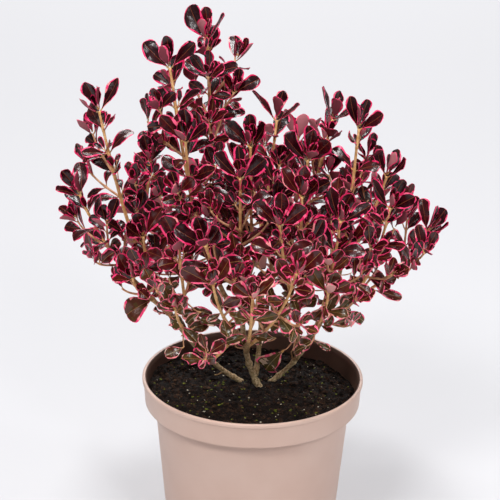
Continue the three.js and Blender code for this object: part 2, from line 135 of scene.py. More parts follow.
def new_material(name):
    """An empty material, and its node tree."""
    material = bpy.data.materials.new(name)
    material.use_nodes = True
    material.node_tree.nodes.clear()
    return material, material.node_tree


def surface(tree, settings, links=None):
    """A Principled shader joined to the material's output."""
    shader = add_node(tree, "ShaderNodeBsdfPrincipled", settings, links)
    add_node(tree, "ShaderNodeOutputMaterial", links={"Surface": shader.outputs["BSDF"]})


print("a mid grey in linear light:", round(linear_colour("#808080")[0], 3))

# %% [markdown]
# Bark, peat and moulded plastic share one recipe: noise that is fixed to the piece, two tones that
# follow it, and a fine relief. Three helpers make these steps, and a fourth joins them.

# %% Pattern helpers


def noise_at(tree, size, detail, roughness=0.5):
    """Noise in a piece's own space, with features of about a size in metres."""
    place = add_node(tree, "ShaderNodeTexCoord").outputs["Object"]
    settings = {"Scale": 1 / size, "Detail": detail, "Roughness": roughness}
    return add_node(tree, "ShaderNodeTexNoise", settings, {"Vector": place}).outputs["Fac"]


def two_tones(tree, pattern, tones, places):
    """A colour that runs from one tone to the other as a pattern passes between two places."""
    ramp = add_node(tree, "ShaderNodeValToRGB", links={"Fac": pattern})
    for stop, tone, place in zip(ramp.color_ramp.elements, tones, places):
        stop.position = place
        stop.color = linear_colour(tone)
    return ramp.outputs["Color"]


def bumped(tree, pattern, strength, depth):
    """The directions of a surface that a pattern raises by up to a depth."""
    settings = {"Strength": strength, "Distance": depth}
    return add_node(tree, "ShaderNodeBump", settings, {"Height": pattern}).outputs["Normal"]


def mottled_finish(name, tones, places, pattern, relief, settings):
    """A finish in patches of two tones, where the same pattern gives the relief."""
    material, tree = new_material(name)
    patches = noise_at(tree, *pattern)
    colour = two_tones(tree, patches, tones, places)
    surface(tree, settings, {"Base Color": colour, "Normal": bumped(tree, patches, *relief)})
    return material


# %% [markdown]
# Foliage is thousands of small closed shapes. Adding them one at a time to Blender is slow, so they
# are kept as arrays, in numpy, and given to Blender in one go. A piece is a list of corner points
# and a list of faces, of three or four corners each, with a material number for each face.

# %% Mesh helpers


class Shell:
    """Corners and faces that are gathered for one piece."""

    def __init__(self):
        self.corners = []
        self.faces = {3: [], 4: []}
        self.finishes = {3: [], 4: []}
        self.sharp = []
        self.count = 0

    def add(self, corners, quads=(), triangles=(), quad_finish=0, triangle_finish=0, sharp=None):
        """Adds corners, and faces that count from the first of them."""
        for size, faces, finish in ((4, quads, quad_finish), (3, triangles, triangle_finish)):
            if len(faces):
                faces = np.asarray(faces, int)
                self.faces[size].append(faces + self.count)
                self.finishes[size].append(np.broadcast_to(finish, len(faces)).astype(int))
        self.corners.append(np.asarray(corners, float))
        self.sharp.append(np.zeros(len(corners), bool) if sharp is None else sharp)
        self.count += len(corners)

    def triangles(self):
        """How many triangles the piece has."""
        return sum(len(f) * (size - 2) for size, faces in self.faces.items() for f in faces)


def make_piece(name, shell, materials, lift=0.0, smooth=True):
    """The gathered shell as an object that rides with the pot, in metres, raised by a lift."""
    mesh = bpy.data.meshes.new(name)
    corners = (np.concatenate(shell.corners) + np.array([0, 0, lift])) * MM
    faces = {size: np.concatenate(found) for size, found in shell.faces.items() if found}
    finish = np.concatenate([np.concatenate(shell.finishes[size]) for size in faces])
    loops = np.concatenate([found.ravel() for found in faces.values()])
    sizes = np.concatenate([np.full(len(found), size) for size, found in faces.items()])
    mesh.vertices.add(len(corners))
    mesh.vertices.foreach_set("co", corners.astype(np.float32).ravel())
    mesh.loops.add(len(loops))
    mesh.loops.foreach_set("vertex_index", loops.astype(np.int32))
    mesh.polygons.add(len(sizes))
    mesh.polygons.foreach_set("loop_start", (np.cumsum(sizes) - sizes).astype(np.int32))
    mesh.polygons.foreach_set("material_index", finish.astype(np.int32))
    mesh.polygons.foreach_set("use_smooth", np.full(len(sizes), smooth))
    mesh.update(calc_edges=True)
    rim = np.concatenate(shell.sharp)
    if rim.any():
        ends = np.zeros(len(mesh.edges) * 2, np.int32)
        mesh.edges.foreach_get("vertices", ends)
        mesh.edges.foreach_set("use_edge_sharp", rim[ends.reshape(-1, 2)].all(1))
    for material in materials:
        mesh.materials.append(material)
    mesh.validate()
    piece = bpy.data.objects.new(name, mesh)
    bpy.context.scene.collection.objects.link(piece)
    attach(piece, "root")
    print(name, shell.triangles(), "triangles")
    return piece


# %% [markdown]
# A twig, a leaf, the pot and the peat are all one kind of surface: rings of corners, joined ring by
# ring, and closed by a fan at each end.

# %% Rings and their faces


def tube_faces(rings, sides):
    """The quads and fans of a closed tube: its corners run ring by ring, its two end points last."""
    ring, side = np.meshgrid(np.arange(rings - 1), np.arange(sides), indexing="ij")
    following = (side + 1) % sides
    here, ahead = ring * sides, (ring + 1) * sides
    quads = np.stack([here + side, ahead + side, ahead + following, here + following], -1)
    side, following = side[0], following[0]
    last, first_end = (rings - 1) * sides, np.full(sides, rings * sides)
    first_fan = np.stack([first_end, side, following], -1)
    last_fan = np.stack([last + side, first_end + 1, last + following], -1)
    return quads.reshape(-1, 4), np.concatenate([first_fan, last_fan])


def turned(outline, sides):
    """The corners of an outline of radii and heights turned round the middle, ring by ring."""
    turns = np.arange(sides) / sides * math.tau
    radii, heights = np.asarray(outline, float).T[..., None]
    corners = np.stack([radii * np.cos(turns), radii * np.sin(turns), heights + 0 * turns], -1)
    return corners.reshape(-1, 3)


print("a tube of 3 rings with 8 sides has", len(tube_faces(3, 8)[0]), "quads and 16 end triangles")


# %% [markdown]
# ## Sizes of the measured model
# The same named sizes as in the measured model, in millimetres. The plant's own heights count from
# the top of the peat. Stems and boughs are given by where they start and where they end. The four
# boughs of the back, which the photograph doesn't show, fan out by a rule.

# %% Pot and peat sizes
GAP = 0.3
POT_HEIGHT = 130.0
LIP_RADIUS = 75.0
LIP_WIDTH = 2.4
BEAD_HEIGHT = 2.6
COLLAR_HEIGHT = 18.0
COLLAR_TOP_RADIUS = 74.1
COLLAR_FOOT_RADIUS = 73.1
COLLAR_WALL = 2.5
WALL_TOP_RADIUS = 66.5
WALL_FOOT_RADIUS = 56.2
WALL = 1.7
POT_FLOOR = 2.2
DRAIN_HOLES = 6
DRAIN_HOLE_RADIUS = 4.0
DRAIN_HOLE_REACH = 40.0
SOIL_TOP = 120.0
SOIL_LEVEL_RADIUS = 30.0
SOIL_EDGE_RADIUS = 70.4
SOIL_RISE_TO_LEFT = 3.2
SOIL_RISE_TO_FRONT = 1.2
PEAT_LEVEL = SOIL_TOP + GAP

# %% Where stems and boughs run
STEMS = {
    "centre": ((4, 4), (-10, -2, 78)),
    "left": ((-10, 12), (-52, 0, 50)),
    "right": ((14.5, 13), (46, 6, 50)),
    "back": ((2, 22), (6, 34, 62)),
}
BOUGHS = {
    "top": ("centre", 1, (-33, 5, 243), []),
    "top_left": ("centre", 0.62, (-56, -10, 229), [(0.75, (-45, -35, 188))]),
    "upper": ("centre", 0.88, (13, 15, 187), [(0.6, (-4, -10, 177))]),
    "front_upper": ("centre", 0.75, (-10, -45, 168), [(0.6, (-31, -75, 134))]),
    "front_low_left": ("centre", 0.5, (-26, -80, 110), [(0.4, (-31, -60, 49))]),
    "front_low": ("centre", 0.36, (-1, -85, 104), [(0.6, (26, -80, 118))]),
    "left_upper": ("left", 0.8, (-102, 0, 196), [(0.8, (-69, -10, 164)), (0.5, (-72, -32, 122))]),
    "left_low": ("left", 1, (-114, -15, 144), [(0.5, (-79, -35, 94))]),
    "front_left": ("left", 0.6, (-48, -60, 126), [(0.6, (-50, -65, 86))]),
    "right_low": ("right", 1, (114, 0, 116), [(0.6, (87, -20, 140))]),
    "right_top": ("right", 0.85, (66, 0, 187), [(0.8, (86, 10, 151))]),
    "front_right": ("right", 0.65, (54, -45, 140), [(0.6, (47, -60, 97))]),
    "front": ("right", 0.4, (29, -50, 158), [(0.7, (15, -70, 146))]),
    "right_upper": ("back", 1, (50, 30, 183), [(0.7, (33, -15, 170))]),
}
BACK_FIRST_ANGLE = 30.0
BACK_ANGLE_STEP = 39.0
BACK_REACH = (92, 80, 84, 95)
BACK_HEIGHT = (118, 152, 150, 106)
BACK_FORK = (0.5, 0.9, 0.75, 0.6)
BACK_SIDE_REACH = 98.0
BACK_SIDE_HEIGHT = 90.0
BACK_SIDE_FORK = 0.5
for index, reach in enumerate(BACK_REACH):
    angle = math.radians(BACK_FIRST_ANGLE + BACK_ANGLE_STEP * index)
    side_angle = angle + math.radians(BACK_ANGLE_STEP / 2)
    tip = (reach * math.cos(angle), reach * math.sin(angle), BACK_HEIGHT[index])
    side = (
        BACK_SIDE_REACH * math.cos(side_angle),
        BACK_SIDE_REACH * math.sin(side_angle),
        BACK_SIDE_HEIGHT,
    )
    sides = [(BACK_SIDE_FORK, side)] if index < len(BACK_REACH) - 1 else []
    BOUGHS[f"back_{index + 1}"] = ("back", BACK_FORK[index], tip, sides)
print(len(STEMS), "stems and", len(BOUGHS), "boughs")

# %% [markdown]
# ## How a shoot bends
# A young shoot leaves its bough flatter than the straight line to its tip, and then turns up to the
# light. A cubic Bezier curve says that with two handles. Along it runs a frame of three directions,
# along, across and beside, carried from point to point without a twist, so that leaf pairs can be
# placed round the shoot by an angle.

# %% Curves of shoots
LEAVE_OUTWARD = 0.35
ARRIVE_UPWARD = 0.7
UP = np.array([0.0, 0.0, 1.0])


def unit(vector):
    """A vector, or rows of vectors, of length one."""
    return vector / np.linalg.norm(vector, axis=-1, keepdims=True)


def shoot_curve(start, tip):
    """The four control points of a shoot."""
    start, tip = np.asarray(start, float), np.asarray(tip, float)
    chord = tip - start
    third = np.linalg.norm(chord) / 3
    along = unit(chord)
    outward = unit(np.array([chord[0], chord[1], 0.0]))
    leave = unit(along + outward * LEAVE_OUTWARD)
    arrive = unit(along + UP * ARRIVE_UPWARD)
    return np.array([start, start + leave * third, tip - arrive * third, tip])


def points_on(curve, shares):
    """Points of a shoot at shares of its way, from 0 to 1."""
    t = np.asarray(shares, float)[..., None]
    a, b, c, d = curve
    return a * (1 - t) ** 3 + b * 3 * t * (1 - t) ** 2 + c * 3 * t**2 * (1 - t) + d * t**3


def directions_on(curve, shares):
    """The direction of a shoot at shares of its way."""
    t = np.asarray(shares, float)[..., None]
    a, b, c, d = curve
    return unit((b - a) * (1 - t) ** 2 + (c - b) * 2 * t * (1 - t) + (d - c) * t**2)


def curve_length(curve, start=0.0, end=1.0):
    """The length of part of a shoot."""
    points = points_on(curve, np.linspace(start, end, 40))
    return float(np.linalg.norm(np.diff(points, axis=0), axis=1).sum())


class Row:
    """A row of points along a shoot, with the three directions at each."""

    def __init__(self, curve, start, end, steps):
        shares = np.linspace(start, end, steps + 1)
        self.point = points_on(curve, shares)
        self.along = directions_on(curve, shares)
        self.across = np.zeros_like(self.along)
        across = np.array([1.0, 0.0, 0.0])
        for step, along in enumerate(self.along):
            across = unit(across - along * (across @ along))
            self.across[step] = across
        self.beside = np.cross(self.across, self.along)


print("the tallest shoot is", round(curve_length(shoot_curve((-10, -2, 78), (-33, 5, 243)))), "mm")

# %% [markdown]
# ## Stems, boughs and masses
# Each mass of foliage keeps to the space that is nearer to its own leading twig than to any other.
# The same rule as in the measured model decides it here, so leaves of two masses never tangle, and
# the sky shows between the masses where it does in the photograph. Low down the crown draws in
# towards the pot: its underside rises to the front, and its reach and half width shrink.

# %% Lines of the limbs and the masses
LEAFY_LENGTH = 78.0
MOST_LEAFY_SHARE = 0.62
STEM_FOOT_RADIUS = 2.35
STEM_TIP_RADIUS = 1.9
STEM_FLARE = 0.2
STEM_FLARE_HEIGHT = 5.0
BOUGH_FOOT_RADIUS = 1.75
BOUGH_TIP_RADIUS = 1.25
LINE_STEP = 2.0


def line_points(curve, start, end):
    """Points about every two millimetres along part of a curve."""
    count = max(2, math.ceil(curve_length(curve, start, end) / LINE_STEP))
    return points_on(curve, np.linspace(start, end, count + 1))


limbs = []
masses = []
stem_curves = {}
for place, (foot, top) in STEMS.items():
    stem_curves[place] = shoot_curve((*foot, 0.0), top)
    limbs.append({"name": f"stem_{place}", "curve": stem_curves[place], "to": 1.0})
for place, (stem, fork, tip, sides) in BOUGHS.items():
    curve = shoot_curve(points_on(stem_curves[stem], fork), tip)
    split = 1 - min(LEAFY_LENGTH / curve_length(curve), MOST_LEAFY_SHARE)
    limbs.append({"name": f"bough_{place}", "curve": curve, "to": split})
    masses.append({"name": f"foliage_{place}", "curve": curve, "from": split})
    for index, (share, side_tip) in enumerate(sides):
        side_curve = shoot_curve(points_on(curve, split * share), side_tip)
        name = f"foliage_{place}_side_{index + 1}"
        masses.append({"name": name, "curve": side_curve, "from": 0.0})
for limb in limbs:
    limb["line"] = line_points(limb["curve"], 0.0, limb["to"])
for mass in masses:
    mass["line"] = line_points(mass["curve"], mass["from"], 1.0)
print(len(limbs), "limbs and", len(masses), "masses")

# %% Space of each mass
INTERLOCK = 3.0
LIMB_MARGIN = 0.8
MOST_BEYOND = 17.0
MOST_ABOVE = 27.0
LOWEST_LEAF = 20.0
UNDERSIDE_RISE = 0.41
LOW_CROWN_HEIGHT = 90.0
LOW_CROWN_FOOT_RADIUS = 36.0
LOW_CROWN_SPREAD = 0.9
CROWN_FOOT_HALF_WIDTH = 60.0
CROWN_SIDE_START = 14.0
line_cloud = np.concatenate([mass["line"] for mass in masses])
line_starts = np.cumsum([0] + [len(mass["line"]) for mass in masses])[:-1]
limb_cloud = np.concatenate([limb["line"] for limb in limbs])
for number, mass in enumerate(masses):
    mass["number"] = number
    mass["tip"] = mass["curve"][3]
    mass["outward"] = unit(np.array([mass["tip"][0], mass["tip"][1], 0.0]))


def gaps_to(points, cloud):
    """The distance from each point to each point of a cloud."""
    return np.sqrt(((points[:, None, :] - cloud[None, :, :]) ** 2).sum(2))


def level_of(points):
    """Heights above the peat, less the rise of the crown's underside towards the front."""
    points = np.asarray(points)
    return points[..., 2] - UNDERSIDE_RISE * np.maximum(0, -points[..., 1])


def in_crown(points, mass):
    """Whether all the points lie within the crown's outline round a mass."""
    beyond = (points[:, :2] - mass["tip"][:2]) @ mass["outward"][:2]
    height, level = points[:, 2], level_of(points)
    spread = np.hypot(points[:, 0], points[:, 1])
    fits = (beyond < MOST_BEYOND) & (level > LOWEST_LEAF) & (height < mass["tip"][2] + MOST_ABOVE)
    fits &= (height > LOW_CROWN_HEIGHT) | (spread < LOW_CROWN_FOOT_RADIUS + LOW_CROWN_SPREAD * height)
    fits &= np.abs(points[:, 0]) < np.maximum(CROWN_FOOT_HALF_WIDTH, CROWN_SIDE_START + level)
    return bool(fits.all())


def is_free(points, mass, own_space=True):
    """Whether all the points lie in the mass's own space, within the crown and clear of wood."""
    if not in_crown(points, mass):
        return False
    if (gaps_to(points, limb_cloud).min(1) < BOUGH_FOOT_RADIUS + LIMB_MARGIN).any():
        return False
    if not own_space:
        return True
    nearest = np.minimum.reduceat(gaps_to(points, line_cloud), line_starts, axis=1)
    own = nearest[:, mass["number"]].copy()
    nearest[:, mass["number"]] = np.inf
    return bool((nearest.min(1) > own - 2 * INTERLOCK).all())


print("the lines have", len(line_cloud), "points, the wood", len(limb_cloud))

# %% [markdown]
# ## Growing twigs and leaves
# The plant's habit is strict: leaves stand in opposite pairs, each pair square to the last. A short
# shoot starts in the axil of many of them, and every shoot ends in a rosette of two or three pairs.
# A seeded stream of numbers varies the angles and sizes, so each run grows the same plant.

# %% Seeded numbers


def seeded(seed):
    """A stream of numbers from 0 to 1 that is the same for the same seed."""
    state = ((seed + 1) * 2654435761) & 0xFFFFFFFF
    step = 0
    while True:
        state = (state * 1664525 + 1013904223) & 0xFFFFFFFF
        step += 1
        if step > 2:
            yield state / 4294967296


print("first numbers:", [round(value, 3) for value, _ in zip(seeded(0), range(3))])

# %% A crowd of points that leaves stay clear of
CELL = 4.0
AROUND = [(x, y, z) for x in (-1, 0, 1) for y in (-1, 0, 1) for z in (-1, 0, 1)]


class Crowd:
    """Points kept in cells of 4 mm, so that those near a place are found fast."""

    def __init__(self):
        self.cells = {}

    def add(self, points, owner):
        """Adds points that belong to one shoot's tip or leaf pair."""
        for point in points.tolist():
            cell = tuple(int(value // CELL) for value in point)
            self.cells.setdefault(cell, []).append((*point, owner))

    def is_clear(self, points, clear, owner=None):
        """Whether no point of another owner is closer than a distance of up to 4 mm."""
        for x, y, z in points.tolist():
            a, b, c = int(x // CELL), int(y // CELL), int(z // CELL)
            for right, back, up in AROUND:
                for px, py, pz, other in self.cells.get((a + right, b + back, c + up), ()):
                    near = (x - px) ** 2 + (y - py) ** 2 + (z - pz) ** 2 < clear**2
                    if near and (owner is None or other != owner):
                        return False
        return True


leaf_crowd, twig_crowd = Crowd(), Crowd()
for mass in masses:
    twig_crowd.add(mass["line"], 0)
print("the twigs' lines fill", len(twig_crowd.cells), "cells")

# %% [markdown]
# A leaf is tried at its full length first, then turned a little either way, and only then made
# shorter. That fills each mass with leaves of nearly full size, as on the plant, where a leaf finds
# its own gap to the light. Low on the shrub the leaves are older and shorter, and many have fallen.

# %% Leaf sizes
LEAF_LENGTHS = {
    "leader": (22.5, 20.5, 18.5, 16.5, 14.0, 11.5),
    "side": (16.5, 15.0, 13.0, 11.0, 9.5),
    "tuft": (10.0, 8.5, 7.0),
    "outer": (25.0, 23.0, 21.0, 19.0, 16.5, 14.0),
    "middle": (20.5, 18.5, 16.0, 13.5, 11.0),
    "inner": (13.5, 11.5, 9.5),
}
SIDE_ROSETTE_SHARE = 0.78
LOW_LEAF_SHARE = 0.7
LOW_LEAF_LEVELS = (25.0, 90.0)
SMALLEST_LEAF = 8.8
WIDTH_SHARE = 0.41
OFFSETS = ((0, 0), (0.3, 0), (-0.3, 0), (0, -0.18), (0.55, 0.1), (-0.55, 0.1))

leaves = []
twigs = []


def size_at(level):
    """How long a leaf is at a level, as a share of the longest."""
    share = np.interp(level, LOW_LEAF_LEVELS, (0, 1))
    return LOW_LEAF_SHARE + (1 - LOW_LEAF_SHARE) * float(share)


def leaf_reach(root, along, upper, length):
    """Points of a leaf that have to be free: its tip, and places on its edges and midrib."""
    across = np.cross(upper, along)
    half = length * WIDTH_SHARE / 2
    places = ((1, 0), (0.86, 0.7), (0.86, -0.7), (0.62, 1), (0.62, -1), (0.62, 0), (0.36, 0))
    return np.array(
        [root + along * length * forward + across * half * sideways for forward, sideways in places]
    )


print("a low leaf is", round(size_at(40), 2), "of a high one")

# %% Try a leaf
LEAF_CLEARANCE = 1.9
TWIG_CLEARANCE = 1.3
LIGHT_CORE_RADIUS = 25.0
ROOT_OFFSET = 0.4
OUTWARD_LIGHT = 0.55
UPWARD_LIGHT = 0.5
FRONT_LIGHT = 0.75
FRONT_DEPTHS = (10.0, 60.0)
FRONT = np.array([0.0, -1.0, 0.0])
FLAT = np.array([1.0, 1.0, 0.0])
OPEN_OUTWARD = math.radians(9)
SHORT_OUTWARD = 0.18


def turned_outward(row, step, turn):
    """The direction that points out of a shoot at an angle round it."""
    return row.across[step] * math.cos(turn) + row.beside[step] * math.sin(turn)


def to_light(point):
    """Where light comes from at a place: outward, up, and from the side that the plant was grown to."""
    outward = np.array([point[0], point[1], 0.0])
    reach = np.linalg.norm(outward)
    front = FRONT * FRONT_LIGHT * float(np.interp(point[1], FRONT_DEPTHS, (1, 0)))
    outward_light = outward / max(reach, LIGHT_CORE_RADIUS) * OUTWARD_LIGHT
    return outward_light + UP * UPWARD_LIGHT + front


def try_leaf(mass, row, step, rise, turn, angle, kind, owner, turned, facts):
    """One leaf, as long as fits, turned a little where that helps. Gives whether it was placed."""
    axis = row.along[step]
    foot = row.point[step] + axis * rise
    scale = size_at(level_of(foot)) * facts.get("scale", 1.0)
    outside = max(0.0, float(turned_outward(row, step, turn) @ unit(to_light(foot) * FLAT)))
    angle += OPEN_OUTWARD * outside
    scale *= 1 - SHORT_OUTWARD * outside
    for length in LEAF_LENGTHS[kind]:
        if length * scale < SMALLEST_LEAF:
            return False
        for sideways, steeper in OFFSETS:
            outward = turned_outward(row, step, turn + sideways)
            lean = angle + steeper
            along = unit(axis * math.cos(lean) + outward * math.sin(lean))
            face = axis * (1 - turned) + to_light(foot) * turned
            upper = unit(face - along * (face @ along))
            root = foot + outward * ROOT_OFFSET
            reach = leaf_reach(root, along, upper, length * scale)
            if not twig_crowd.is_clear(reach, TWIG_CLEARANCE):
                continue
            if not leaf_crowd.is_clear(reach, LEAF_CLEARANCE, owner):
                continue
            if not is_free(reach, mass, facts.get("own_space", True)):
                continue
            leaf_crowd.add(reach, owner)
            leaf = {"root": root, "along": along, "upper": upper, "length": length * scale}
            leaves.append({**leaf, "mass": mass, "kind": kind, **facts})
            return True
    return False


longest = LEAF_LENGTHS["outer"][0]
print("longest leaf", longest, "mm,", round(longest * WIDTH_SHARE, 1), "mm wide")

# %% [markdown]
# A shoot carries four kinds of growth: a rosette at its tip, pairs of leaves at its nodes, tufts of
# small leaves in the axils, and side shoots. The streams of numbers move each leaf a little off its
# strict place.

# %% Rosettes
ROW_STEPS = 48
ROSETTE_ANGLES = {"outer": 40.0, "middle": 24.0, "inner": 11.0}
ROSETTE_RISE = {"outer": -0.5, "middle": 1.2, "inner": 2.8}
ROSETTE_TURNED = {"outer": 0.55, "middle": 0.42, "inner": 0.25}
ROSETTE_CURL = {"outer": -0.12, "middle": -0.2, "inner": -0.15}
ROSETTE_SWAY = 18.0
SPARSE_LEVEL = 50.0
owners = iter(range(1, 10**6))


def grow_rosette(mass, row, step, turn, random, facts):
    """Three pairs of leaves round a shoot's tip, shorter and more upright towards its heart."""
    owner = next(owners)
    placed = 0
    kinds = ("outer", "middle", "inner")
    for index, kind in enumerate(kinds if level_of(row.point[step]) > SPARSE_LEVEL else kinds[:2]):
        for side in (0, math.pi):
            angle = math.radians(ROSETTE_ANGLES[kind] + ROSETTE_SWAY * (next(random) - 0.5))
            here = turn + index * math.pi / 2 + side + 0.5 * (next(random) - 0.5)
            given = {**facts, "curl": ROSETTE_CURL[kind] + 0.5 * (next(random) - 0.5)}
            given["scale"] = facts.get("scale", 1.0) * (0.9 + 0.14 * next(random))
            rise, turned_up = ROSETTE_RISE[kind], ROSETTE_TURNED[kind]
            placed += try_leaf(mass, row, step, rise, here, angle, kind, owner, turned_up, given)
    return placed


# %% Leaf pairs
PAIR_SPACING = {"leader": 15.0, "side": 11.0}
BARE_FOOT = {"leader": 6.0, "side": 8.0}
LAST_INTERNODE = {"leader": 12.5, "side": 8.0}
PAIR_ANGLES = {"leader": (42.0, 60.0), "side": (44.0, 58.0)}
PAIR_TURNED = 0.58
PAIR_SWAY = 14.0
FALLEN_LEVELS = (22.0, 48.0, 80.0)
FALLEN_SHARES = (0.9, 0.52, 0.05)


def nodes_of(curve, start, rank, random):
    """The nodes of a shoot, from the top one down: row, step, turn, and how far down it is."""
    length = curve_length(curve, start)
    row = Row(curve, start, 1, ROW_STEPS)
    first_turn = 0.9 * (2 * next(random) - 1)
    nodes = []
    down = LAST_INTERNODE[rank] + 2 * (next(random) - 0.5)
    while down < length - BARE_FOOT[rank]:
        turn = first_turn + (len(nodes) + 1) * math.pi / 2
        step = int(round((1 - down / length) * ROW_STEPS))
        nodes.append({"step": step, "turn": turn, "down": down / length})
        down += PAIR_SPACING[rank] * (0.85 + 0.3 * next(random))
    return row, first_turn, nodes


def fallen_at(point):
    """The share of leaves that have fallen at a place: most of them low down, none higher up."""
    return float(np.interp(level_of(point), FALLEN_LEVELS, FALLEN_SHARES))


def grow_pairs(mass, row, nodes, rank, random, facts):
    """A pair of leaves at each node of a shoot. Lower pairs lean out further."""
    steep, flat = PAIR_ANGLES[rank]
    for node in nodes:
        owner = next(owners)
        for side in (0, math.pi):
            if next(random) < fallen_at(row.point[node["step"]]):
                continue
            lean = steep + (flat - steep) * node["down"] + PAIR_SWAY * (next(random) - 0.5)
            lean = math.radians(lean)
            turn = node["turn"] + side + 0.3 * (next(random) - 0.5)
            given = {**facts, "curl": 0.1 + 0.35 * node["down"] + 0.7 * (next(random) - 0.5)}
            try_leaf(mass, row, node["step"], 0.0, turn, lean, rank, owner, PAIR_TURNED, given)


# %% Tufts in the axils
TUFT_ANGLE = 34.0
TUFT_LENGTH = 5.0
TUFT_SPREAD = (46.0, 20.0)
TUFT_TURNED = 0.3
TUFT_CLEARANCE = 1.2
TUFT_STEPS = 4


def grow_tuft(mass, row, step, turn, random, facts):
    """A very short shoot in a leaf's axil, with a pair or two of small leaves."""
    outward = turned_outward(row, step, turn)
    angle = math.radians(TUFT_ANGLE)
    direction = unit(row.along[step] * math.cos(angle) + outward * math.sin(angle))
    tip = row.point[step] + direction * TUFT_LENGTH * (0.6 + 0.8 * next(random))
    free = is_free(tip[None], mass, facts.get("own_space", True))
    if not free or not leaf_crowd.is_clear(tip[None], TUFT_CLEARANCE):
        return
    curve = shoot_curve(row.point[step], tip)
    short = Row(curve, 0, 1, TUFT_STEPS)
    owner = next(owners)
    first_turn = next(random) * math.pi
    placed = 0
    for index, spread in enumerate(TUFT_SPREAD):
        for side in (0, math.pi):
            lean = math.radians(spread + PAIR_SWAY * (next(random) - 0.5))
            here = first_turn + index * math.pi / 2 + side
            given = {**facts, "curl": 0.5 * (next(random) - 0.5)}
            where = (mass, short, TUFT_STEPS, 0.0, here, lean)
            placed += try_leaf(*where, "tuft", owner, TUFT_TURNED, given)
    if placed:
        twigs.append({"curve": curve, "from": 0.0, "foot": 0.55, "tip": 0.4, "rank": "tuft"})


# %% Side shoots
SIDE_LENGTHS = (34.0, 28.0, 22.0, 17.0)
SIDE_ANGLE = 42.0
SIDE_TURNS = (0.0, 0.5, -0.5, 1.0, -1.0)
SIDE_FROM_TIP = 0.42
SIDE_TWIG_CLEARANCE = 3.9
SIDE_LEAF_CLEARANCE = 1.6
LOWEST_SIDE_TIP = 46.0
CHECKED_SHARES = (0.45, 0.7, 1.0)
CHECKED_BEYOND = 9.0


def try_side_shoot(mass, row, step, first_turn, scale):
    """A side shoot in a leaf's axil, in the first direction and greatest length that fit."""
    angle = math.radians(SIDE_ANGLE)
    for length in SIDE_LENGTHS:
        for sideways in SIDE_TURNS:
            outward = turned_outward(row, step, first_turn + sideways)
            direction = row.along[step] * math.cos(angle) + outward * math.sin(angle)
            tip = row.point[step] + direction * length * scale
            curve = shoot_curve(row.point[step], tip)
            beyond = tip + directions_on(curve, 1.0) * CHECKED_BEYOND
            ahead = np.concatenate([points_on(curve, CHECKED_SHARES), [beyond]])
            if not twig_crowd.is_clear(ahead[1:], SIDE_TWIG_CLEARANCE):
                continue
            if leaf_crowd.is_clear(ahead, SIDE_LEAF_CLEARANCE) and is_free(ahead, mass):
                return curve
    return None


# %% [markdown]
# ## Low leaves by themselves
# Below the crown some leaves are left over from shoots that have lost the rest. They stand out
# against the peat and the background, so each is placed where it hangs on the plant, on a thin twig
# from the nearest wood. They come first, and the leaves that grow later keep clear of them.

# %% Low leaves by themselves
LONE_LEAVES = [
    ((-66.1, -30.0, 77.8), (-84.6, -38.0, 71.0), 1.5),
    ((-44.9, -52.0, 53.9), (-56.3, -58.0, 50.1), 1.2),
    ((-30.6, -52.0, 47.7), (-34.4, -56.0, 40.2), 1.2),
    ((20.6, -18.0, 37.1), (6.1, -25.0, 25.4), 1.5),
    ((36.6, -34.0, 48.4), (26.1, -38.0, 45.8), 1.2),
    ((40.6, -12.0, 41.3), (52.1, -14.0, 35.8), 0.9),
    ((58.8, -22.0, 68.0), (74.6, -26.0, 63.5), 0.95),
    ((78.9, -8.0, 77.4), (99.5, -10.0, 73.6), 0.8),
    ((15.0, -24.0, 48.5), (-0.9, -30.0, 52.4), 1.1),
    ((-9.0, -34.0, 64.2), (-20.6, -42.0, 61.9), 1.1),
    ((-15.0, -14.0, 48.5), (-5.5, -20.0, 41.2), 1.0),
    ((-20.5, -52.0, 79.1), (-29.4, -58.0, 74.6), 1.0),
    ((-34.2, -46.0, 76.2), (-44.3, -52.0, 72.3), 1.1),
    ((24.6, -48.0, 73.9), (9.2, -54.0, 70.7), 1.0),
    ((-9.0, -62.0, 87.9), (6.4, -68.0, 82.5), 1.0),
    ((42.7, -24.0, 53.4), (30.8, -32.0, 47.4), 1.0),
    ((-55.3, -36.0, 68.5), (-48.6, -42.0, 61.4), 1.2),
    ((-54.5, -40.0, 73.9), (-45.3, -44.0, 86.4), 1.1),
    ((-33.7, -38.0, 67.0), (-44.0, -44.0, 75.8), 1.2),
    ((-30.6, -54.0, 52.2), (-33.2, -58.0, 66.1), 1.1),
    ((-29.3, -54.0, 50.1), (-18.9, -60.0, 60.9), 1.2),
    ((31.6, -34.0, 62.8), (18.6, -40.0, 58.8), 1.0),
    ((25.7, -26.0, 40.2), (36.6, -32.0, 50.4), 1.1),
    ((43.9, -22.0, 57.6), (52.4, -26.0, 55.2), 1.0),
    ((47.8, -30.0, 74.9), (38.0, -36.0, 68.1), 1.1),
    ((52.5, -16.0, 63.8), (63.5, -20.0, 68.6), 1.0),
    ((-12.3, 6.0, 28.3), (-9.1, 2.0, 42.1), 1.1),
    ((-47.7, -30.0, 51.6), (-39.0, -36.0, 58.8), 1.1),
    ((10.5, -40.0, 71.5), (16.7, -46.0, 84.9), 1.1),
    ((24.3, -36.0, 70.0), (30.3, -42.0, 83.4), 1.0),
]
LONE_FACE = np.array([0.0, -0.75, 0.65])
BARE_SHARE = 0.6
TWIG_FOOT_SHARE = 0.15
BARE_NODES = [{"down": 0.2}, {"down": 0.45}, {"down": 0.7}]


def add_bare_twig(curve):
    """A shoot that has lost its leaves, with the scars where they stood."""
    twig_crowd.add(line_points(curve, TWIG_FOOT_SHARE, 1), 0)
    twig = {"curve": curve, "from": 0.0, "foot": 0.55, "tip": 0.3, "rank": "side"}
    twigs.append({**twig, "nodes": BARE_NODES})


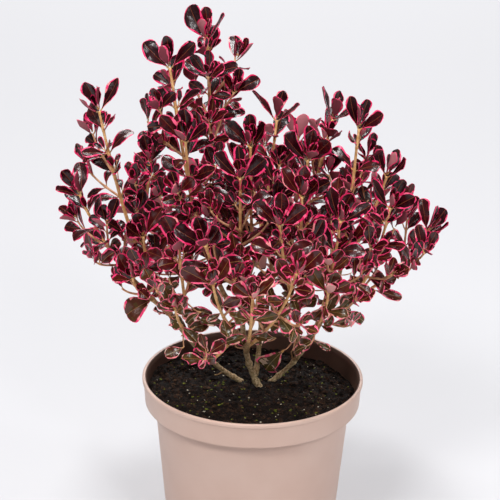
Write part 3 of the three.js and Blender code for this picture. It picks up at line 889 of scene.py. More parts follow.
wood = np.concatenate([limb_cloud, line_cloud])
for root, tip, broad in LONE_LEAVES:
    root, tip = np.array(root), np.array(tip)
    mass = min(masses, key=lambda mass: gaps_to(root[None], mass["line"]).min())
    start = wood[gaps_to(root[None], wood)[0].argmin()]
    add_bare_twig(shoot_curve(start, root))
    along, length = unit(tip - root), float(np.linalg.norm(tip - root))
    upper = unit(LONE_FACE - along * (LONE_FACE @ along))
    leaf_crowd.add(leaf_reach(root, along, upper, length), 0)
    leaf = {"root": root, "along": along, "upper": upper, "length": length, "mass": mass}
    leaf |= {"kind": "lone", "broad": broad, "steady": 0.2, "tone": 0.5, "curl": 0.25}
    leaves.append(leaf)
print(len(LONE_LEAVES), "leaves hang by themselves")

# %% [markdown]
# ## Grow every mass
# The plant grows in rounds, and each round goes through all the masses: first the rosettes of the
# leading shoots, then the pairs along them, then the side shoots with their own rosettes and pairs,
# and the tufts last. So the largest leaves get the first choice of room, as they have on the plant.

# %% Grow the rosettes of the leading shoots
LEADER_RADII = {"foot": 1.2, "tip": 0.8}
growing = []
for mass in masses:
    random = seeded(mass["number"])
    curve, start = mass["curve"], mass["from"]
    row, first_turn, nodes = nodes_of(curve, start, "leader", random)
    facts = {"tone": next(random)}
    twigs.append({"curve": curve, "from": start, **LEADER_RADII, "rank": "leader", "nodes": nodes})
    grow_rosette(mass, row, ROW_STEPS, first_turn, random, facts)
    growing.append((mass, random, row, nodes, facts))
print(len(leaves), "leaves in the rosettes of", len(masses), "leading shoots")

# %% Grow the pairs along the leading shoots
for mass, random, row, nodes, facts in growing:
    grow_pairs(mass, row, nodes, "leader", random, facts)
print(len(leaves), "leaves with the pairs along those shoots")

# %% Grow the side shoots
SIDE_RADII = {"foot": 0.85, "tip": 0.6}
SHORTEST_SIDE_SCALE = 0.75
for mass, random, row, nodes, facts in growing:
    for node in nodes:
        node["shoots"], node["rows"] = [], []
        for side in (0, math.pi):
            if node["down"] < SIDE_FROM_TIP:
                continue
            scale = 1 - (1 - SHORTEST_SIDE_SCALE) * next(random)
            shoot = try_side_shoot(mass, row, node["step"], node["turn"] + side, scale)
            if shoot is None or level_of(shoot[3]) < LOWEST_SIDE_TIP:
                continue
            if next(random) < fallen_at(shoot[3]):
                add_bare_twig(shoot_curve(shoot[0], points_on(shoot, BARE_SHARE)))
                continue
            node["shoots"].append(side)
            twig_crowd.add(line_points(shoot, TWIG_FOOT_SHARE, 1), 0)
            side_row, side_turn, side_nodes = nodes_of(shoot, 0.0, "side", random)
            twigs.append({"curve": shoot, "from": 0.0, **SIDE_RADII, "rank": "side", "nodes": side_nodes})
            own = {**facts, "tone": next(random), "scale": SIDE_ROSETTE_SHARE}
            grow_rosette(mass, side_row, ROW_STEPS, side_turn, random, own)
            own["scale"] = 1.0
            grow_pairs(mass, side_row, side_nodes, "side", random, own)
            node["rows"].append((side_row, side_nodes, own))
print(len(leaves), "leaves with the side shoots")

# %% Grow the tufts
TUFT_CHANCE = {"leader": 0.5, "side": 0.12}
for mass, random, row, nodes, facts in growing:
    for node in nodes:
        for side in (0, math.pi):
            chance = TUFT_CHANCE["leader"] * (1 - fallen_at(row.point[node["step"]]))
            if side not in node["shoots"] and next(random) < chance:
                grow_tuft(mass, row, node["step"], node["turn"] + side, random, facts)
        for side_row, side_nodes, own in node["rows"]:
            for side_node in side_nodes:
                for side in (0, math.pi):
                    if next(random) < TUFT_CHANCE["side"]:
                        turn = side_node["turn"] + side
                        grow_tuft(mass, side_row, side_node["step"], turn, random, own)
print(len(leaves), "leaves with the tufts")

# %% Old spurs on the boughs
SPUR_SPACING = 11.0
SPUR_CHANCE = 0.3
SPUR_LOWEST = 16.0
mass_of = {mass["name"]: mass for mass in masses}
spur_random = seeded(99)
for limb in limbs:
    if limb["name"].startswith("stem"):
        continue
    mass = mass_of[limb["name"].replace("bough", "foliage")]
    length = curve_length(limb["curve"], 0, limb["to"])
    row = Row(limb["curve"], 0, limb["to"], ROW_STEPS)
    facts = {"tone": next(spur_random), "own_space": False}
    for index in range(1, int(length / SPUR_SPACING)):
        step = int(round(index * SPUR_SPACING / length * ROW_STEPS))
        turn = next(spur_random) * math.tau
        if next(spur_random) < SPUR_CHANCE and row.point[step][2] > SPUR_LOWEST:
            grow_tuft(mass, row, step, turn, spur_random, facts)
print(len(leaves), "leaves on", len(twigs), "twigs with the spurs")

# %% [markdown]
# ## The shape of a leaf
# A leaf is a short stalk and a blade, widest a little beyond its middle. Its two halves rise from a
# groove along the midrib and arch over towards the margin, and the whole blade bends back a little.
# Each leaf is a closed skin of rings that run round it, from the stalk to the tip. Faces between
# rings get their finish by where they lie: margin, blade, midrib or underside. So the pink margin
# follows the edge closely and needs no picture. It is about 0.8 mm wide and a little uneven, as on
# the plant, where it also fades or breaks off in places.

# %% Leaf outline
LEAF_THICKNESS = 0.35
MARGIN_WIDTH = 0.88
MARGIN_UNEVEN = 0.65
RIB_WIDTH = 0.26
STALK_SHARE = 0.15

LARGE_STATIONS = np.array([0.04, 0.12, 0.19, 0.28, 0.38, 0.49, 0.6, 0.7, 0.8, 0.88, 0.945, 0.985])
LARGE_WIDTHS = np.array([0.12, 0.1, 0.2, 0.44, 0.67, 0.84, 0.95, 1.0, 0.98, 0.85, 0.62, 0.33])
SMALL_STATIONS = np.array([0.05, 0.16, 0.34, 0.54, 0.74, 0.9])
SMALL_WIDTHS = np.array([0.16, 0.2, 0.62, 0.92, 1.0, 0.72])
MARGIN, BLADE, RIB, UNDER, STALK, PALE_MARGIN, BROWNER_BLADE = range(7)
LARGE_FINISH = [MARGIN, BLADE, BLADE, RIB, BLADE, BLADE, MARGIN, MARGIN, UNDER, UNDER, MARGIN]
SMALL_FINISH = [MARGIN, BLADE, BLADE, MARGIN, MARGIN, UNDER, UNDER, MARGIN]
TOP_SIDES = {len(LARGE_FINISH): 7, len(SMALL_FINISH): 4}


def leaf_faces(stations, finishes):
    """The faces of one leaf, the part that each face belongs to, and its rim's corners."""
    rings, sides = len(stations), len(finishes)
    quads, triangles = tube_faces(rings, sides)
    quads = quads.reshape(rings - 1, sides, 4).swapaxes(0, 1).reshape(-1, 4)
    on_stalk = stations[1:] <= STALK_SHARE + 0.02
    quad_parts = np.where(on_stalk, STALK, np.array(finishes)[:, None]).ravel()
    rim = np.zeros((rings, sides), bool)
    rim[1:, [0, TOP_SIDES[sides]]] = True
    rim = np.append(rim.ravel(), [False, True])
    return quads, quad_parts, triangles, np.repeat([STALK, MARGIN], sides), rim


large_leaf = leaf_faces(LARGE_STATIONS, LARGE_FINISH)
print("a large leaf has", 2 * len(large_leaf[0]) + len(large_leaf[2]), "triangles")

# %% Leaf surfaces
MOST_MARGIN = 0.4
MOST_RIB = 0.2
CUP_RISE = 0.5
CUP_ARCH = 0.28
LOBING = 0.15
PUCKERS = 5
PUCKER_HEIGHT = 0.64
GROOVE = 0.25
BEND = 1.6
STALK_SUNK = 0.3


def columns_of(half, left_margin, right_margin, large):
    """How far each corner of a ring lies from the midrib, and whether it is on the underside."""
    left = half - np.minimum(left_margin, half * MOST_MARGIN)
    right = half - np.minimum(right_margin, half * MOST_MARGIN)
    if large:
        rib = np.minimum(RIB_WIDTH / 2, half * MOST_RIB)
        top = [-half, -left, -(rib + left) / 2, -rib, rib, (rib + right) / 2, right, half]
        under = [right * 1.02, half * 0, -left * 1.02]
    else:
        top = [-half, -left, half * 0, right, half]
        under = [right, half * 0, -left]
    return np.concatenate(top + under, -1), np.arange(len(top + under)) >= len(top)


def leaf_corners(group, stations, widths, large):
    """The corners of many leaves at once: one row for each leaf."""

    def get(key):
        return np.array([leaf[key] for leaf in group], float)[:, None, None]

    length, cup, phase = get("length"), get("cup"), get("phase")
    place = stations[None, :, None]
    blade = np.clip((place - STALK_SHARE) / (1 - STALK_SHARE), 0, 1)
    half = length * get("width") / 2 * widths[None, :, None]
    beat = math.tau * (1.1 * place + 3 * phase)
    uneven = [np.sin(beat + turn) + 0.5 * np.sin(3.1 * beat + 2 * turn) for turn in (0, 2)]
    margins = [get("margin") * (1 + MARGIN_UNEVEN * share) for share in uneven]
    side, below = columns_of(half, *margins, large)
    share = np.abs(side) / half
    lobes = np.sin(math.tau * (1.4 * place + 2 * phase + 0.3 * np.sign(side)))
    side = side * (1 + LOBING * lobes * blade)
    height = CUP_RISE * cup * np.abs(side) - CUP_ARCH * cup * half * share**2
    ripple = np.sin(math.tau * (1.5 * place + phase + 0.2 * np.sign(side)))
    height += get("wave") * half * share**2 * ripple * blade
    puckers = np.sin(math.tau * PUCKERS * (place - 0.25 * share))
    height += PUCKER_HEIGHT * puckers * (1 - share) * share * blade * large
    height -= np.where(below, LEAF_THICKNESS + GROOVE * (share < 0.1), 0)
    bend = get("curl") * blade**1.2 * BEND
    run = np.diff(stations, prepend=0)[None, :, None] * length
    forward, drop = np.cumsum(run * np.cos(bend), 1), np.cumsum(run * np.sin(bend), 1)
    turn = get("twist") * blade
    sickle = get("sickle") * length * blade**2
    flat = side * np.cos(turn) - height * np.sin(turn) + sickle
    rise = side * np.sin(turn) + height * np.cos(turn)
    rings = np.stack([forward + rise * np.sin(bend), flat, rise * np.cos(bend) - drop], -1)
    ahead = forward[:, -1] + length[:, 0] * (1 - stations[-1]) * np.cos(bend[:, -1])
    below_root = drop[:, -1] + length[:, 0] * (1 - stations[-1]) * np.sin(bend[:, -1])
    tip = np.stack([ahead, sickle[:, -1], -below_root], -1)
    foot = np.broadcast_to([-STALK_SUNK, 0, 0], (len(group), 1, 3))
    local = np.concatenate([rings.reshape(len(group), -1, 3), foot, tip], 1)
    root, along, upper = (np.array([leaf[key] for leaf in group]) for key in ("root", "along", "upper"))
    return local @ np.stack([along, np.cross(upper, along), upper], 1) + root[:, None]


print("leaf rings:", len(LARGE_STATIONS), "on large leaves and", len(SMALL_STATIONS), "on small")

# %% [markdown]
# ## Colours of the leaves
# The youngest leaves, at the shoots' tips, are the darkest: a plum that is nearly black, with a
# crimson margin. Leaves lower down and deeper inside turn browner and then olive, and their margins
# fade to salmon. Deep inside the crown, where shade falls, the margins are painted a dark crimson:
# painted shade. The colour is dealt out by spray, so that one short shoot has one tone, as it has on
# the plant. The cuticle is a smooth wax, so each blade also carries a clear gloss. The wax does nearly
# all of the reflecting, and the flesh under it is given hardly any shine of its own: twice the shine
# would lay a grey veil from the white floor over the dark plum.

# %% Leaf materials
WAX_IOR = 1.45
WAX_SPECULAR = 0.02
WAX_ROUGHNESS = 0.23
VEIN_SIZE = 3.4 * MM
VEIN_DEPTH = 0.3 * MM
BLADE_TONES = ["#200308", "#2e050a", "#40090d", "#4a1410", "#4d2413", "#4a3317", "#4f4321"]
MARGIN_TONES = ["#ce2256", "#ea3c70", "#fa6488", "#fa9296", "#f6b4a4", "#efd0ba"]
# The last margin tone is painted shade, for the margins of leaves deep inside the crown.
SHADED_MARGIN_TONE = "#862340"
RIB_TONES = ["#7a3e26", "#94643a", "#aa9066", "#cc9860"]
UNDER_TONES = ["#7e3e48", "#a2646a", "#cc9690", "#c8ac92"]
LEAF_SKINS = {
    "plum_leaf_blade": (BLADE_TONES, 0.4, 0.9),
    "pink_leaf_margin": ([*MARGIN_TONES, SHADED_MARGIN_TONE], 0.45, 0.4),
    "leaf_midrib": (RIB_TONES, 0.5, 0.2),
    "leaf_underside": (UNDER_TONES, 0.6, 0.0),
}


def leaf_finish(name, hex_value, roughness, gloss):
    """A leaf's skin: a plain colour under a waxy cuticle, with fine veins that break the gloss."""
    material, tree = new_material(name)
    veins = bumped(tree, noise_at(tree, VEIN_SIZE, 2.0), 1.0, VEIN_DEPTH)
    settings = {
        "Base Color": linear_colour(hex_value),
        "Roughness": roughness,
        "IOR": WAX_IOR,
        "Specular IOR Level": WAX_SPECULAR,
        "Coat Weight": gloss,
        "Coat Roughness": WAX_ROUGHNESS,
    }
    surface(tree, settings, {"Normal": veins, "Coat Normal": veins})
    return material


leaf_materials, firsts = [], []
for name, (tones, roughness, gloss) in LEAF_SKINS.items():
    firsts.append(len(leaf_materials))
    for index, tone in enumerate(tones):
        leaf_materials.append(leaf_finish(f"{name}_{index}", tone, roughness, gloss))
first_blade, first_margin, first_rib, first_under = firsts
shaded_margin = first_margin + len(MARGIN_TONES)
print(len(leaf_materials), "leaf finishes")

# %% Deal out colours and shapes
YOUNG_LEVEL = 108.0
OLD_LEVEL = 44.0
DEEP = 95.0
INNER_REACH = 48.0
INNER_HEIGHT = 150.0


def pick(first, tones, value):
    """The material number of a tone, from 0 for the first to 1 for the last."""
    return first + int(min(len(tones) - 1, max(0, round(value * (len(tones) - 1)))))


spread = seeded(7)
for leaf in leaves:
    root = leaf["root"]
    height = float(np.interp(level_of(root), (OLD_LEVEL, YOUNG_LEVEL), (0, 1)))
    depth = float(np.interp(np.linalg.norm(root - leaf["mass"]["tip"]), (15, DEEP), (0, 1)))
    age = 0.76 * (1 - height) + 0.34 * depth + 0.24 * (leaf["tone"] - 0.5)
    leaf["age"] = age = float(np.clip(age + 0.12 * (next(spread) - 0.5), 0, 1))
    blade_age = age * 0.95 + 0.34 * (next(spread) - 0.4)
    margin_age = age * 0.52 + 0.36 * (next(spread) - 0.4)
    leaf["parts"] = {
        BLADE: pick(first_blade, BLADE_TONES, blade_age),
        BROWNER_BLADE: pick(first_blade, BLADE_TONES, blade_age + 0.17),
        MARGIN: pick(first_margin, MARGIN_TONES, margin_age),
        PALE_MARGIN: pick(first_margin, MARGIN_TONES, margin_age + 0.3),
        RIB: pick(first_rib, RIB_TONES[:-1], age + 0.3 * (next(spread) - 0.5)),
        UNDER: pick(first_under, UNDER_TONES, age * 0.8 + 0.5 * (next(spread) - 0.3)),
        STALK: pick(first_rib, RIB_TONES, 0.85 + 0.6 * (next(spread) - 0.5)),
    }
    # Leaves deep inside the crown get the darker margin: painted shade.
    inner = math.hypot(root[0], root[1]) < INNER_REACH and root[2] < INNER_HEIGHT
    if inner and leaf["kind"] != "lone":
        leaf["parts"][MARGIN] = shaded_margin
    leaf["cup"] = 0.35 + 1.0 * next(spread)
    leaf["twist"] = (1.0 + 0.8 * age) * (next(spread) - 0.5) * leaf.get("steady", 1.0)
    leaf["wave"] = (0.2 + 0.7 * age) * (0.4 + next(spread))
    leaf["phase"] = next(spread)
    leaf["sickle"] = 0.16 * (next(spread) - 0.5)
    leaf["width"] = (0.4 + 0.13 * next(spread)) * leaf.get("broad", 1.0)
    leaf["margin"] = MARGIN_WIDTH * (0.75 + 0.4 * next(spread)) * (0.35 + 0.65 * leaf["length"] / 22)
    leaf["margin"] *= 1 + 0.9 * age * next(spread) ** 2
    leaf["curl"] += 0.8 * age * (next(spread) - 0.3)
ages = [leaf["age"] for leaf in leaves]
print("ages from", round(min(ages), 2), "to", round(max(ages), 2))

# %% [markdown]
# The leaves are joined into five pieces by where they stand, each under the limit for one piece. Long
# leaves get the fine skin and short ones the plain skin. On each leaf some faces change their tone:
# the margin pales or breaks off in places, and the blade turns a little browner in others.

# %% Join the leaves by region
LARGE_LEAF = 11.5
REGIONS = {
    "top": ("foliage_top", "foliage_upper"),
    "left": ("foliage_left", "foliage_front_left"),
    "right": ("foliage_right", "foliage_front_right"),
    "back": ("foliage_back",),
    "front": ("foliage_front",),
}
PALE_SHARE = 0.3
BROKEN_SHARE = 0.1
BROWNER_SHARE = 0.35
patches = np.random.default_rng(11)


def region_of(name):
    """The region that a mass belongs to: the one with the longest matching start."""
    starts = [(start, region) for region, group in REGIONS.items() for start in group]
    return max((len(start), region) for start, region in starts if name.startswith(start))[1]


def patched(parts):
    """The parts of a leaf's faces, with patches of the margin and of the blade in another tone."""
    dealt = patches.random(len(parts))
    parts = np.where((parts == BLADE) & (dealt < BROWNER_SHARE), BROWNER_BLADE, parts)
    parts = np.where((parts == MARGIN) & (dealt > 1 - BROKEN_SHARE), BLADE, parts)
    return np.where((parts == MARGIN) & (dealt < PALE_SHARE), PALE_MARGIN, parts)


def add_leaves(shell, group, stations, widths, finishes, large):
    """Adds a group of leaves of one kind to a shell."""
    quads, quad_parts, triangles, triangle_parts, rim = leaf_faces(stations, finishes)
    corners = leaf_corners(group, stations, widths, large)
    for leaf, points in zip(group, corners):
        finish = np.array([leaf["parts"][part] for part in range(7)])
        shell.add(points, quads, triangles, finish[patched(quad_parts)], finish[triangle_parts], rim)


for region in REGIONS:
    members = [mass["name"] for mass in masses if region_of(mass["name"]) == region]
    own = [leaf for leaf in leaves if leaf["mass"]["name"] in members]
    shell = Shell()
    large = [leaf for leaf in own if leaf["length"] >= LARGE_LEAF]
    small = [leaf for leaf in own if leaf["length"] < LARGE_LEAF]
    add_leaves(shell, large, LARGE_STATIONS, LARGE_WIDTHS, LARGE_FINISH, True)
    add_leaves(shell, small, SMALL_STATIONS, SMALL_WIDTHS, SMALL_FINISH, False)
    piece = make_piece(f"leaves_{region}", shell, leaf_materials, PEAT_LEVEL)
    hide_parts(*members)
    print(region, len(large), "large and", len(small), "small leaves in", len(members), "masses")

# %% [markdown]
# ## Twigs, boughs and stems
# Young shoots are smooth and orange-tan. At each pair of leaves a shoot is swollen, and a small
# collar is left round it. Older wood is greyer, thicker and rough, with stubs where shoots have
# died, and it goes down into the peat. All of them are tubes along the same curves, and the tube's
# radius carries the swellings and the bark's relief as real shape.

# %% Tubes
NODE_SWELL = 0.3
NODE_LENGTH = 1.3


def add_tube(shell, row, radii, sides, relief=0.0, finish=0, seed=0.0):
    """A closed tube round a row, with relief as a share of its radius."""
    turns = np.arange(sides)[None, :, None] / sides * math.tau
    circle = np.cos(turns) * row.across[:, None] + np.sin(turns) * row.beside[:, None]
    reach = np.repeat(radii[:, None], sides, 1)
    if relief:
        for ring, side in np.ndindex(reach.shape):
            point, out = row.point[ring], circle[ring, side] * 1.1
            lumps = noise.noise(Vector(point * 0.16 + out * 0.8) + Vector((seed, 0, 0)))
            flakes = noise.noise(Vector(point * 0.55 + out * 2.4))
            reach[ring, side] *= 1 + relief * (lumps + 0.6 * flakes)
    rings = (row.point[:, None] + circle * reach[..., None]).reshape(-1, 3)
    corners = np.concatenate([rings, row.point[:1], row.point[-1:]])
    shell.add(corners, *tube_faces(len(row.point), sides), finish, finish)


def swollen(radii, distance, places):
    """Radii with a swelling at each place where leaves stand, or once stood."""
    off = np.abs(distance[:, None] - np.asarray(places)[None]).min(1)
    return radii * (1 + NODE_SWELL * np.exp(-((off / NODE_LENGTH) ** 2)))


print("a swelling adds", NODE_SWELL, "of the radius over about", NODE_LENGTH, "mm")

# %% Twigs
SIDES = {"leader": 8, "side": 6, "tuft": 5}
TWIG_STEP = 1.4
TWIG_SUNK_SHARE = 0.02
twig_shell = Shell()
for twig in twigs:
    length = curve_length(twig["curve"], twig["from"], 1.0)
    steps = max(3, int(length / TWIG_STEP))
    start = max(0.0, twig["from"] - TWIG_SUNK_SHARE)
    row = Row(twig["curve"], start, 1.0, steps)
    radii = np.linspace(twig["foot"], twig["tip"], steps + 1)
    if twig["rank"] in PAIR_SPACING:
        places = [(1 - node["down"]) * length for node in twig["nodes"]] + [length]
        radii = swollen(radii, np.linspace(0, length, steps + 1), places)
    add_tube(twig_shell, row, radii, SIDES[twig["rank"]], finish=0 if twig["rank"] == "leader" else 1)
print("twigs have", twig_shell.triangles(), "triangles")

# %% Stems and boughs
# A limb's skin is its number of sides, the bark's relief as a share of its radius, and its finish.
SUNK_SHARE = 0.06
CENTRE_STEM_SHARE = 0.85
SLIM_STEM_SHARE = 0.7
FIRST_NODE = 8.0
LIMB_STEP = 1.3
STEM_SKIN = (18, 0.2, 0)
BOUGH_SKIN = (12, 0.12, 1)
STUB_CHANCE = 0.6
STUB_LENGTHS = (2.0, 8.0)
STUB_FORWARD = 0.7
STUB_END_CLEARANCE = 4.0
STUB_RADII = np.array([0.75, 0.6, 0.5, 0.45, 0.4])
limb_shell = Shell()
stubs = seeded(41)


def add_stubs(row, distance, radii):
    """Short dead twigs where leaves and shoots once stood low on a limb."""
    end = distance[-1] - STUB_END_CLEARANCE
    for place in np.arange(FIRST_NODE, end, PAIR_SPACING["leader"] / 2):
        step = int(np.argmin(np.abs(distance - place)))
        turn, chance, share = next(stubs) * math.tau, next(stubs), next(stubs)
        if chance > STUB_CHANCE:
            continue
        outward = turned_outward(row, step, turn)
        way = unit(row.along[step] * STUB_FORWARD + outward)
        start = row.point[step] + outward * radii[step] * 0.5
        tip = start + way * (STUB_LENGTHS[0] + (STUB_LENGTHS[1] - STUB_LENGTHS[0]) * share**2)
        stub = Row(shoot_curve(start, tip), 0, 1, len(STUB_RADII) - 1)
        add_tube(limb_shell, stub, STUB_RADII, 6, 0.2, 1, place)


for number, limb in enumerate(limbs):
    length = curve_length(limb["curve"], 0, limb["to"])
    steps = int(length / LIMB_STEP)
    rooted = limb["name"].startswith("stem")
    row = Row(limb["curve"], -SUNK_SHARE if rooted else 0, limb["to"], steps)
    distance = np.linspace(0, length, steps + 1)
    if rooted:
        radii = np.linspace(STEM_FOOT_RADIUS, STEM_TIP_RADIUS, steps + 1)
        radii = radii * (1 + STEM_FLARE * np.exp(-row.point[:, 2] / STEM_FLARE_HEIGHT))
        central = limb["name"] == "stem_centre"
        radii = radii * (CENTRE_STEM_SHARE if central else SLIM_STEM_SHARE)
    else:
        radii = np.linspace(BOUGH_FOOT_RADIUS, BOUGH_TIP_RADIUS, steps + 1)
    skin = STEM_SKIN if rooted else BOUGH_SKIN
    radii = swollen(radii, distance, np.arange(FIRST_NODE, length, PAIR_SPACING["leader"]))
    add_tube(limb_shell, row, radii, *skin, seed=number * 3.7)
    add_stubs(row, distance, radii)
print("limbs have", limb_shell.triangles(), "triangles")

# %% Bark materials


def bark_finish(name, tones, size, depth):
    """Thin bark: two browns in patches, with fine relief. The sizes are in millimetres."""
    pattern, relief = (size * MM, 5.0, 0.65), (0.6, depth * MM)
    return mottled_finish(name, tones, (0.35, 0.65), pattern, relief, {"Roughness": 0.75, "IOR": 1.5})


old_bark = bark_finish("old_flaky_bark", ("#7a5f36", "#f0d6a8"), 1.5, 0.5)
bough_bark = bark_finish("bough_bark", ("#7c5c38", "#c8a274"), 2.0, 0.25)
shoot_bark = bark_finish("young_shoot_bark", ("#c48e50", "#eebe86"), 3.0, 0.1)
side_bark = bark_finish("side_shoot_bark", ("#b67c58", "#e2b086"), 3.0, 0.1)
limb_piece = make_piece("stems_and_boughs", limb_shell, [old_bark, bough_bark], PEAT_LEVEL)
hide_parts(*[name for name in node_names if name.startswith(("stem", "bough"))])
make_piece("twigs", twig_shell, [shoot_bark, side_bark], PEAT_LEVEL)

# %% [markdown]
# ## The pot
# The pot is injection-moulded polypropylene in a warm taupe. A lathe makes it: one outline is turned
# round the middle. The outline has the small roundings that catch light on a real moulding: a bead
# round the lip, the step under the collar, and the rounded foot. The inside has its own, much darker
# brown finish: painted shade of the pot's inside, with a little stain where damp peat has touched it.

# %% Pot outline
POT_SIDES = 192
ROUNDING_STEPS = 4


def rounded(outline, radii):
    """The outline with each corner rounded by its own radius."""
    points = [np.array(point, float) for point in outline]
    found = []
    for index, (point, radius) in enumerate(zip(points, radii)):
        start = point + unit(points[index - 1] - point) * radius
        end = point + unit(points[(index + 1) % len(points)] - point) * radius
        for step in range(ROUNDING_STEPS + 1):
            t = step / ROUNDING_STEPS
            found.append(start * (1 - t) ** 2 + point * 2 * t * (1 - t) + end * t**2)
    return np.array(found)


def inside_radius(height):
    """The radius inside the pot's wall at a height."""
    share = height / (POT_HEIGHT - COLLAR_HEIGHT)
    return WALL_FOOT_RADIUS + (WALL_TOP_RADIUS - WALL_FOOT_RADIUS) * share - WALL


collar_foot = POT_HEIGHT - COLLAR_HEIGHT
bead_foot = POT_HEIGHT - BEAD_HEIGHT
step_height = collar_foot - WALL
# Each corner of the outline is a radius and a height, and then how far it is rounded.
pot_outline = [
    ((WALL_FOOT_RADIUS, 0), 1.4),
    ((WALL_TOP_RADIUS, collar_foot), 0.8),
    ((COLLAR_FOOT_RADIUS, collar_foot), 0.9),
    ((COLLAR_TOP_RADIUS, bead_foot - 0.6), 0.3),
    ((LIP_RADIUS, bead_foot), 0.4),
    ((LIP_RADIUS, POT_HEIGHT), 0.9),
    ((LIP_RADIUS - LIP_WIDTH, POT_HEIGHT), 0.9),
    ((COLLAR_TOP_RADIUS - COLLAR_WALL, bead_foot), 0.5),
    ((COLLAR_FOOT_RADIUS - COLLAR_WALL, collar_foot + WALL), 0.8),
    ((inside_radius(step_height), step_height), 0.8),
    ((inside_radius(POT_FLOOR), POT_FLOOR), 1.2),
]
outline = rounded(*zip(*pot_outline))
print("the outline has", len(outline), "points")

# %% Turn the pot
# The darker inside, painted shade with some peat stain, starts at the lip's highest point,
# and at the inner one where two are level.
INWARD_SHARE = 0.2
pot_shell = Shell()
count = len(outline)
corners = np.concatenate([turned(outline, POT_SIDES), [[0, 0, 0], [0, 0, POT_FLOOR]]])
quads, fans = tube_faces(count, POT_SIDES)
crest = int(np.argmax(outline[:, 1] - INWARD_SHARE * outline[:, 0]))
inside = np.repeat(np.arange(count - 1) >= crest, POT_SIDES).astype(int)
pot_shell.add(corners, quads[:, ::-1], fans[:, ::-1], inside, np.repeat([0, 1], POT_SIDES))
print("the inside starts at point", crest, "of", count, "at a radius of", outline[crest, 0].round(1))

# %% Pot material


def pot_finish(name, tones):
    """Moulded polypropylene: a satin surface with a fine sparked grain from the mould."""
    material, tree = new_material(name)
    colour = two_tones(tree, noise_at(tree, 45 * MM, 3.0), tones, (0.3, 0.7))
    grain = bumped(tree, noise_at(tree, 0.5 * MM, 2.0), 0.15, 0.05 * MM)
    surface(tree, {"Roughness": 0.48, "IOR": 1.49}, {"Base Color": colour, "Normal": grain})
    return material


clean_wall = pot_finish("taupe_polypropylene", ("#ccac9d", "#d4b7a9"))
# painted shade: the inside is coloured much darker to stand for the shade in the pot, with a little peat
# stain
stain_and_shade_wall = pot_finish("peat_stained_and_shaded_polypropylene", ("#5b443a", "#6f5548"))
pot_piece = make_piece("nursery_pot", pot_shell, [clean_wall, stain_and_shade_wall])
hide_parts("pot")

# %% Drill the drain holes
DRILL_DEPTH = 8.0
DRILL_SIDES = 32
for hole in range(DRAIN_HOLES):
    angle = (hole + 0.5) / DRAIN_HOLES * math.tau
    at = Vector((math.cos(angle), math.sin(angle), 0)) * DRAIN_HOLE_REACH * MM
    size = {"radius": DRAIN_HOLE_RADIUS * MM, "depth": DRILL_DEPTH * MM, "location": at}
    bpy.ops.mesh.primitive_cylinder_add(vertices=DRILL_SIDES, **size)
    drill = bpy.context.active_object
    cut = pot_piece.modifiers.new("drain_hole", "BOOLEAN")
    cut.operation = "DIFFERENCE"
    cut.object = drill
    bpy.context.view_layer.objects.active = pot_piece
    bpy.ops.object.modifier_apply(modifier=cut.name)
    bpy.data.objects.remove(drill)
print("the drilled pot has", len(pot_piece.data.polygons), "faces")

# %% [markdown]
# ## The peat
# Peat compost is crumbs, fibres and fine dust, nearly black when damp, with white perlite grains
# and a few green specks of moss. The surface is a closed disc whose top is raised and lowered by
# noise at several sizes. Separate crumbs, fibres and grains are scattered over it.

# %% Peat surface
PEAT_SIDES = 220
PEAT_RINGS = 90
PEAT_EDGE_WIDTH = 9.4
SETTLED_RADIUS = 26.0
SETTLED_SHARE = 0.35
LUMPS = ((1.9, 0.06, 3.1), (2.0, 0.24, 7.7), (1.0, 0.7, 1.3))


def peat_height(x, y):
    """The peat's height at a place: level round the stems, and a little higher to the left."""
    reach = math.hypot(x, y)
    share = min(1.0, max(0.0, (reach - SOIL_LEVEL_RADIUS) / (SOIL_EDGE_RADIUS - SOIL_LEVEL_RADIUS)))
    tilt = (-x * SOIL_RISE_TO_LEFT - y * SOIL_RISE_TO_FRONT) * (share / SOIL_EDGE_RADIUS)
    edge = max(0.0, (reach - SOIL_EDGE_RADIUS + PEAT_EDGE_WIDTH) / PEAT_EDGE_WIDTH)
    lumps, crumbs, fine = (
        height * noise.noise(Vector((x * pace, y * pace, layer))) for height, pace, layer in LUMPS
    )
    settle = SETTLED_SHARE if reach < SETTLED_RADIUS else 1.0
    return SOIL_TOP + tilt - edge**2 + settle * (lumps + crumbs) + fine - GAP


skirt = [
    (COLLAR_FOOT_RADIUS - COLLAR_WALL - GAP, step_height + 2 * WALL + GAP),
    (inside_radius(step_height) - GAP, step_height),
    (inside_radius(POT_FLOOR + GAP) - GAP, POT_FLOOR + GAP),
]
reaches = SOIL_EDGE_RADIUS * np.sqrt(np.linspace(0, 1, PEAT_RINGS + 1)[1:])
corners = turned([(reach, 0) for reach in reaches] + skirt, PEAT_SIDES)
for corner in corners[: PEAT_RINGS * PEAT_SIDES]:
    corner[2] = peat_height(corner[0], corner[1])
middles = [(0, 0, peat_height(0, 0)), (0, 0, POT_FLOOR + GAP)]
peat_shell = Shell()
peat_shell.add(np.concatenate([corners, middles]), *tube_faces(PEAT_RINGS + len(skirt), PEAT_SIDES))
print("the peat's top has", PEAT_RINGS * PEAT_SIDES, "points")

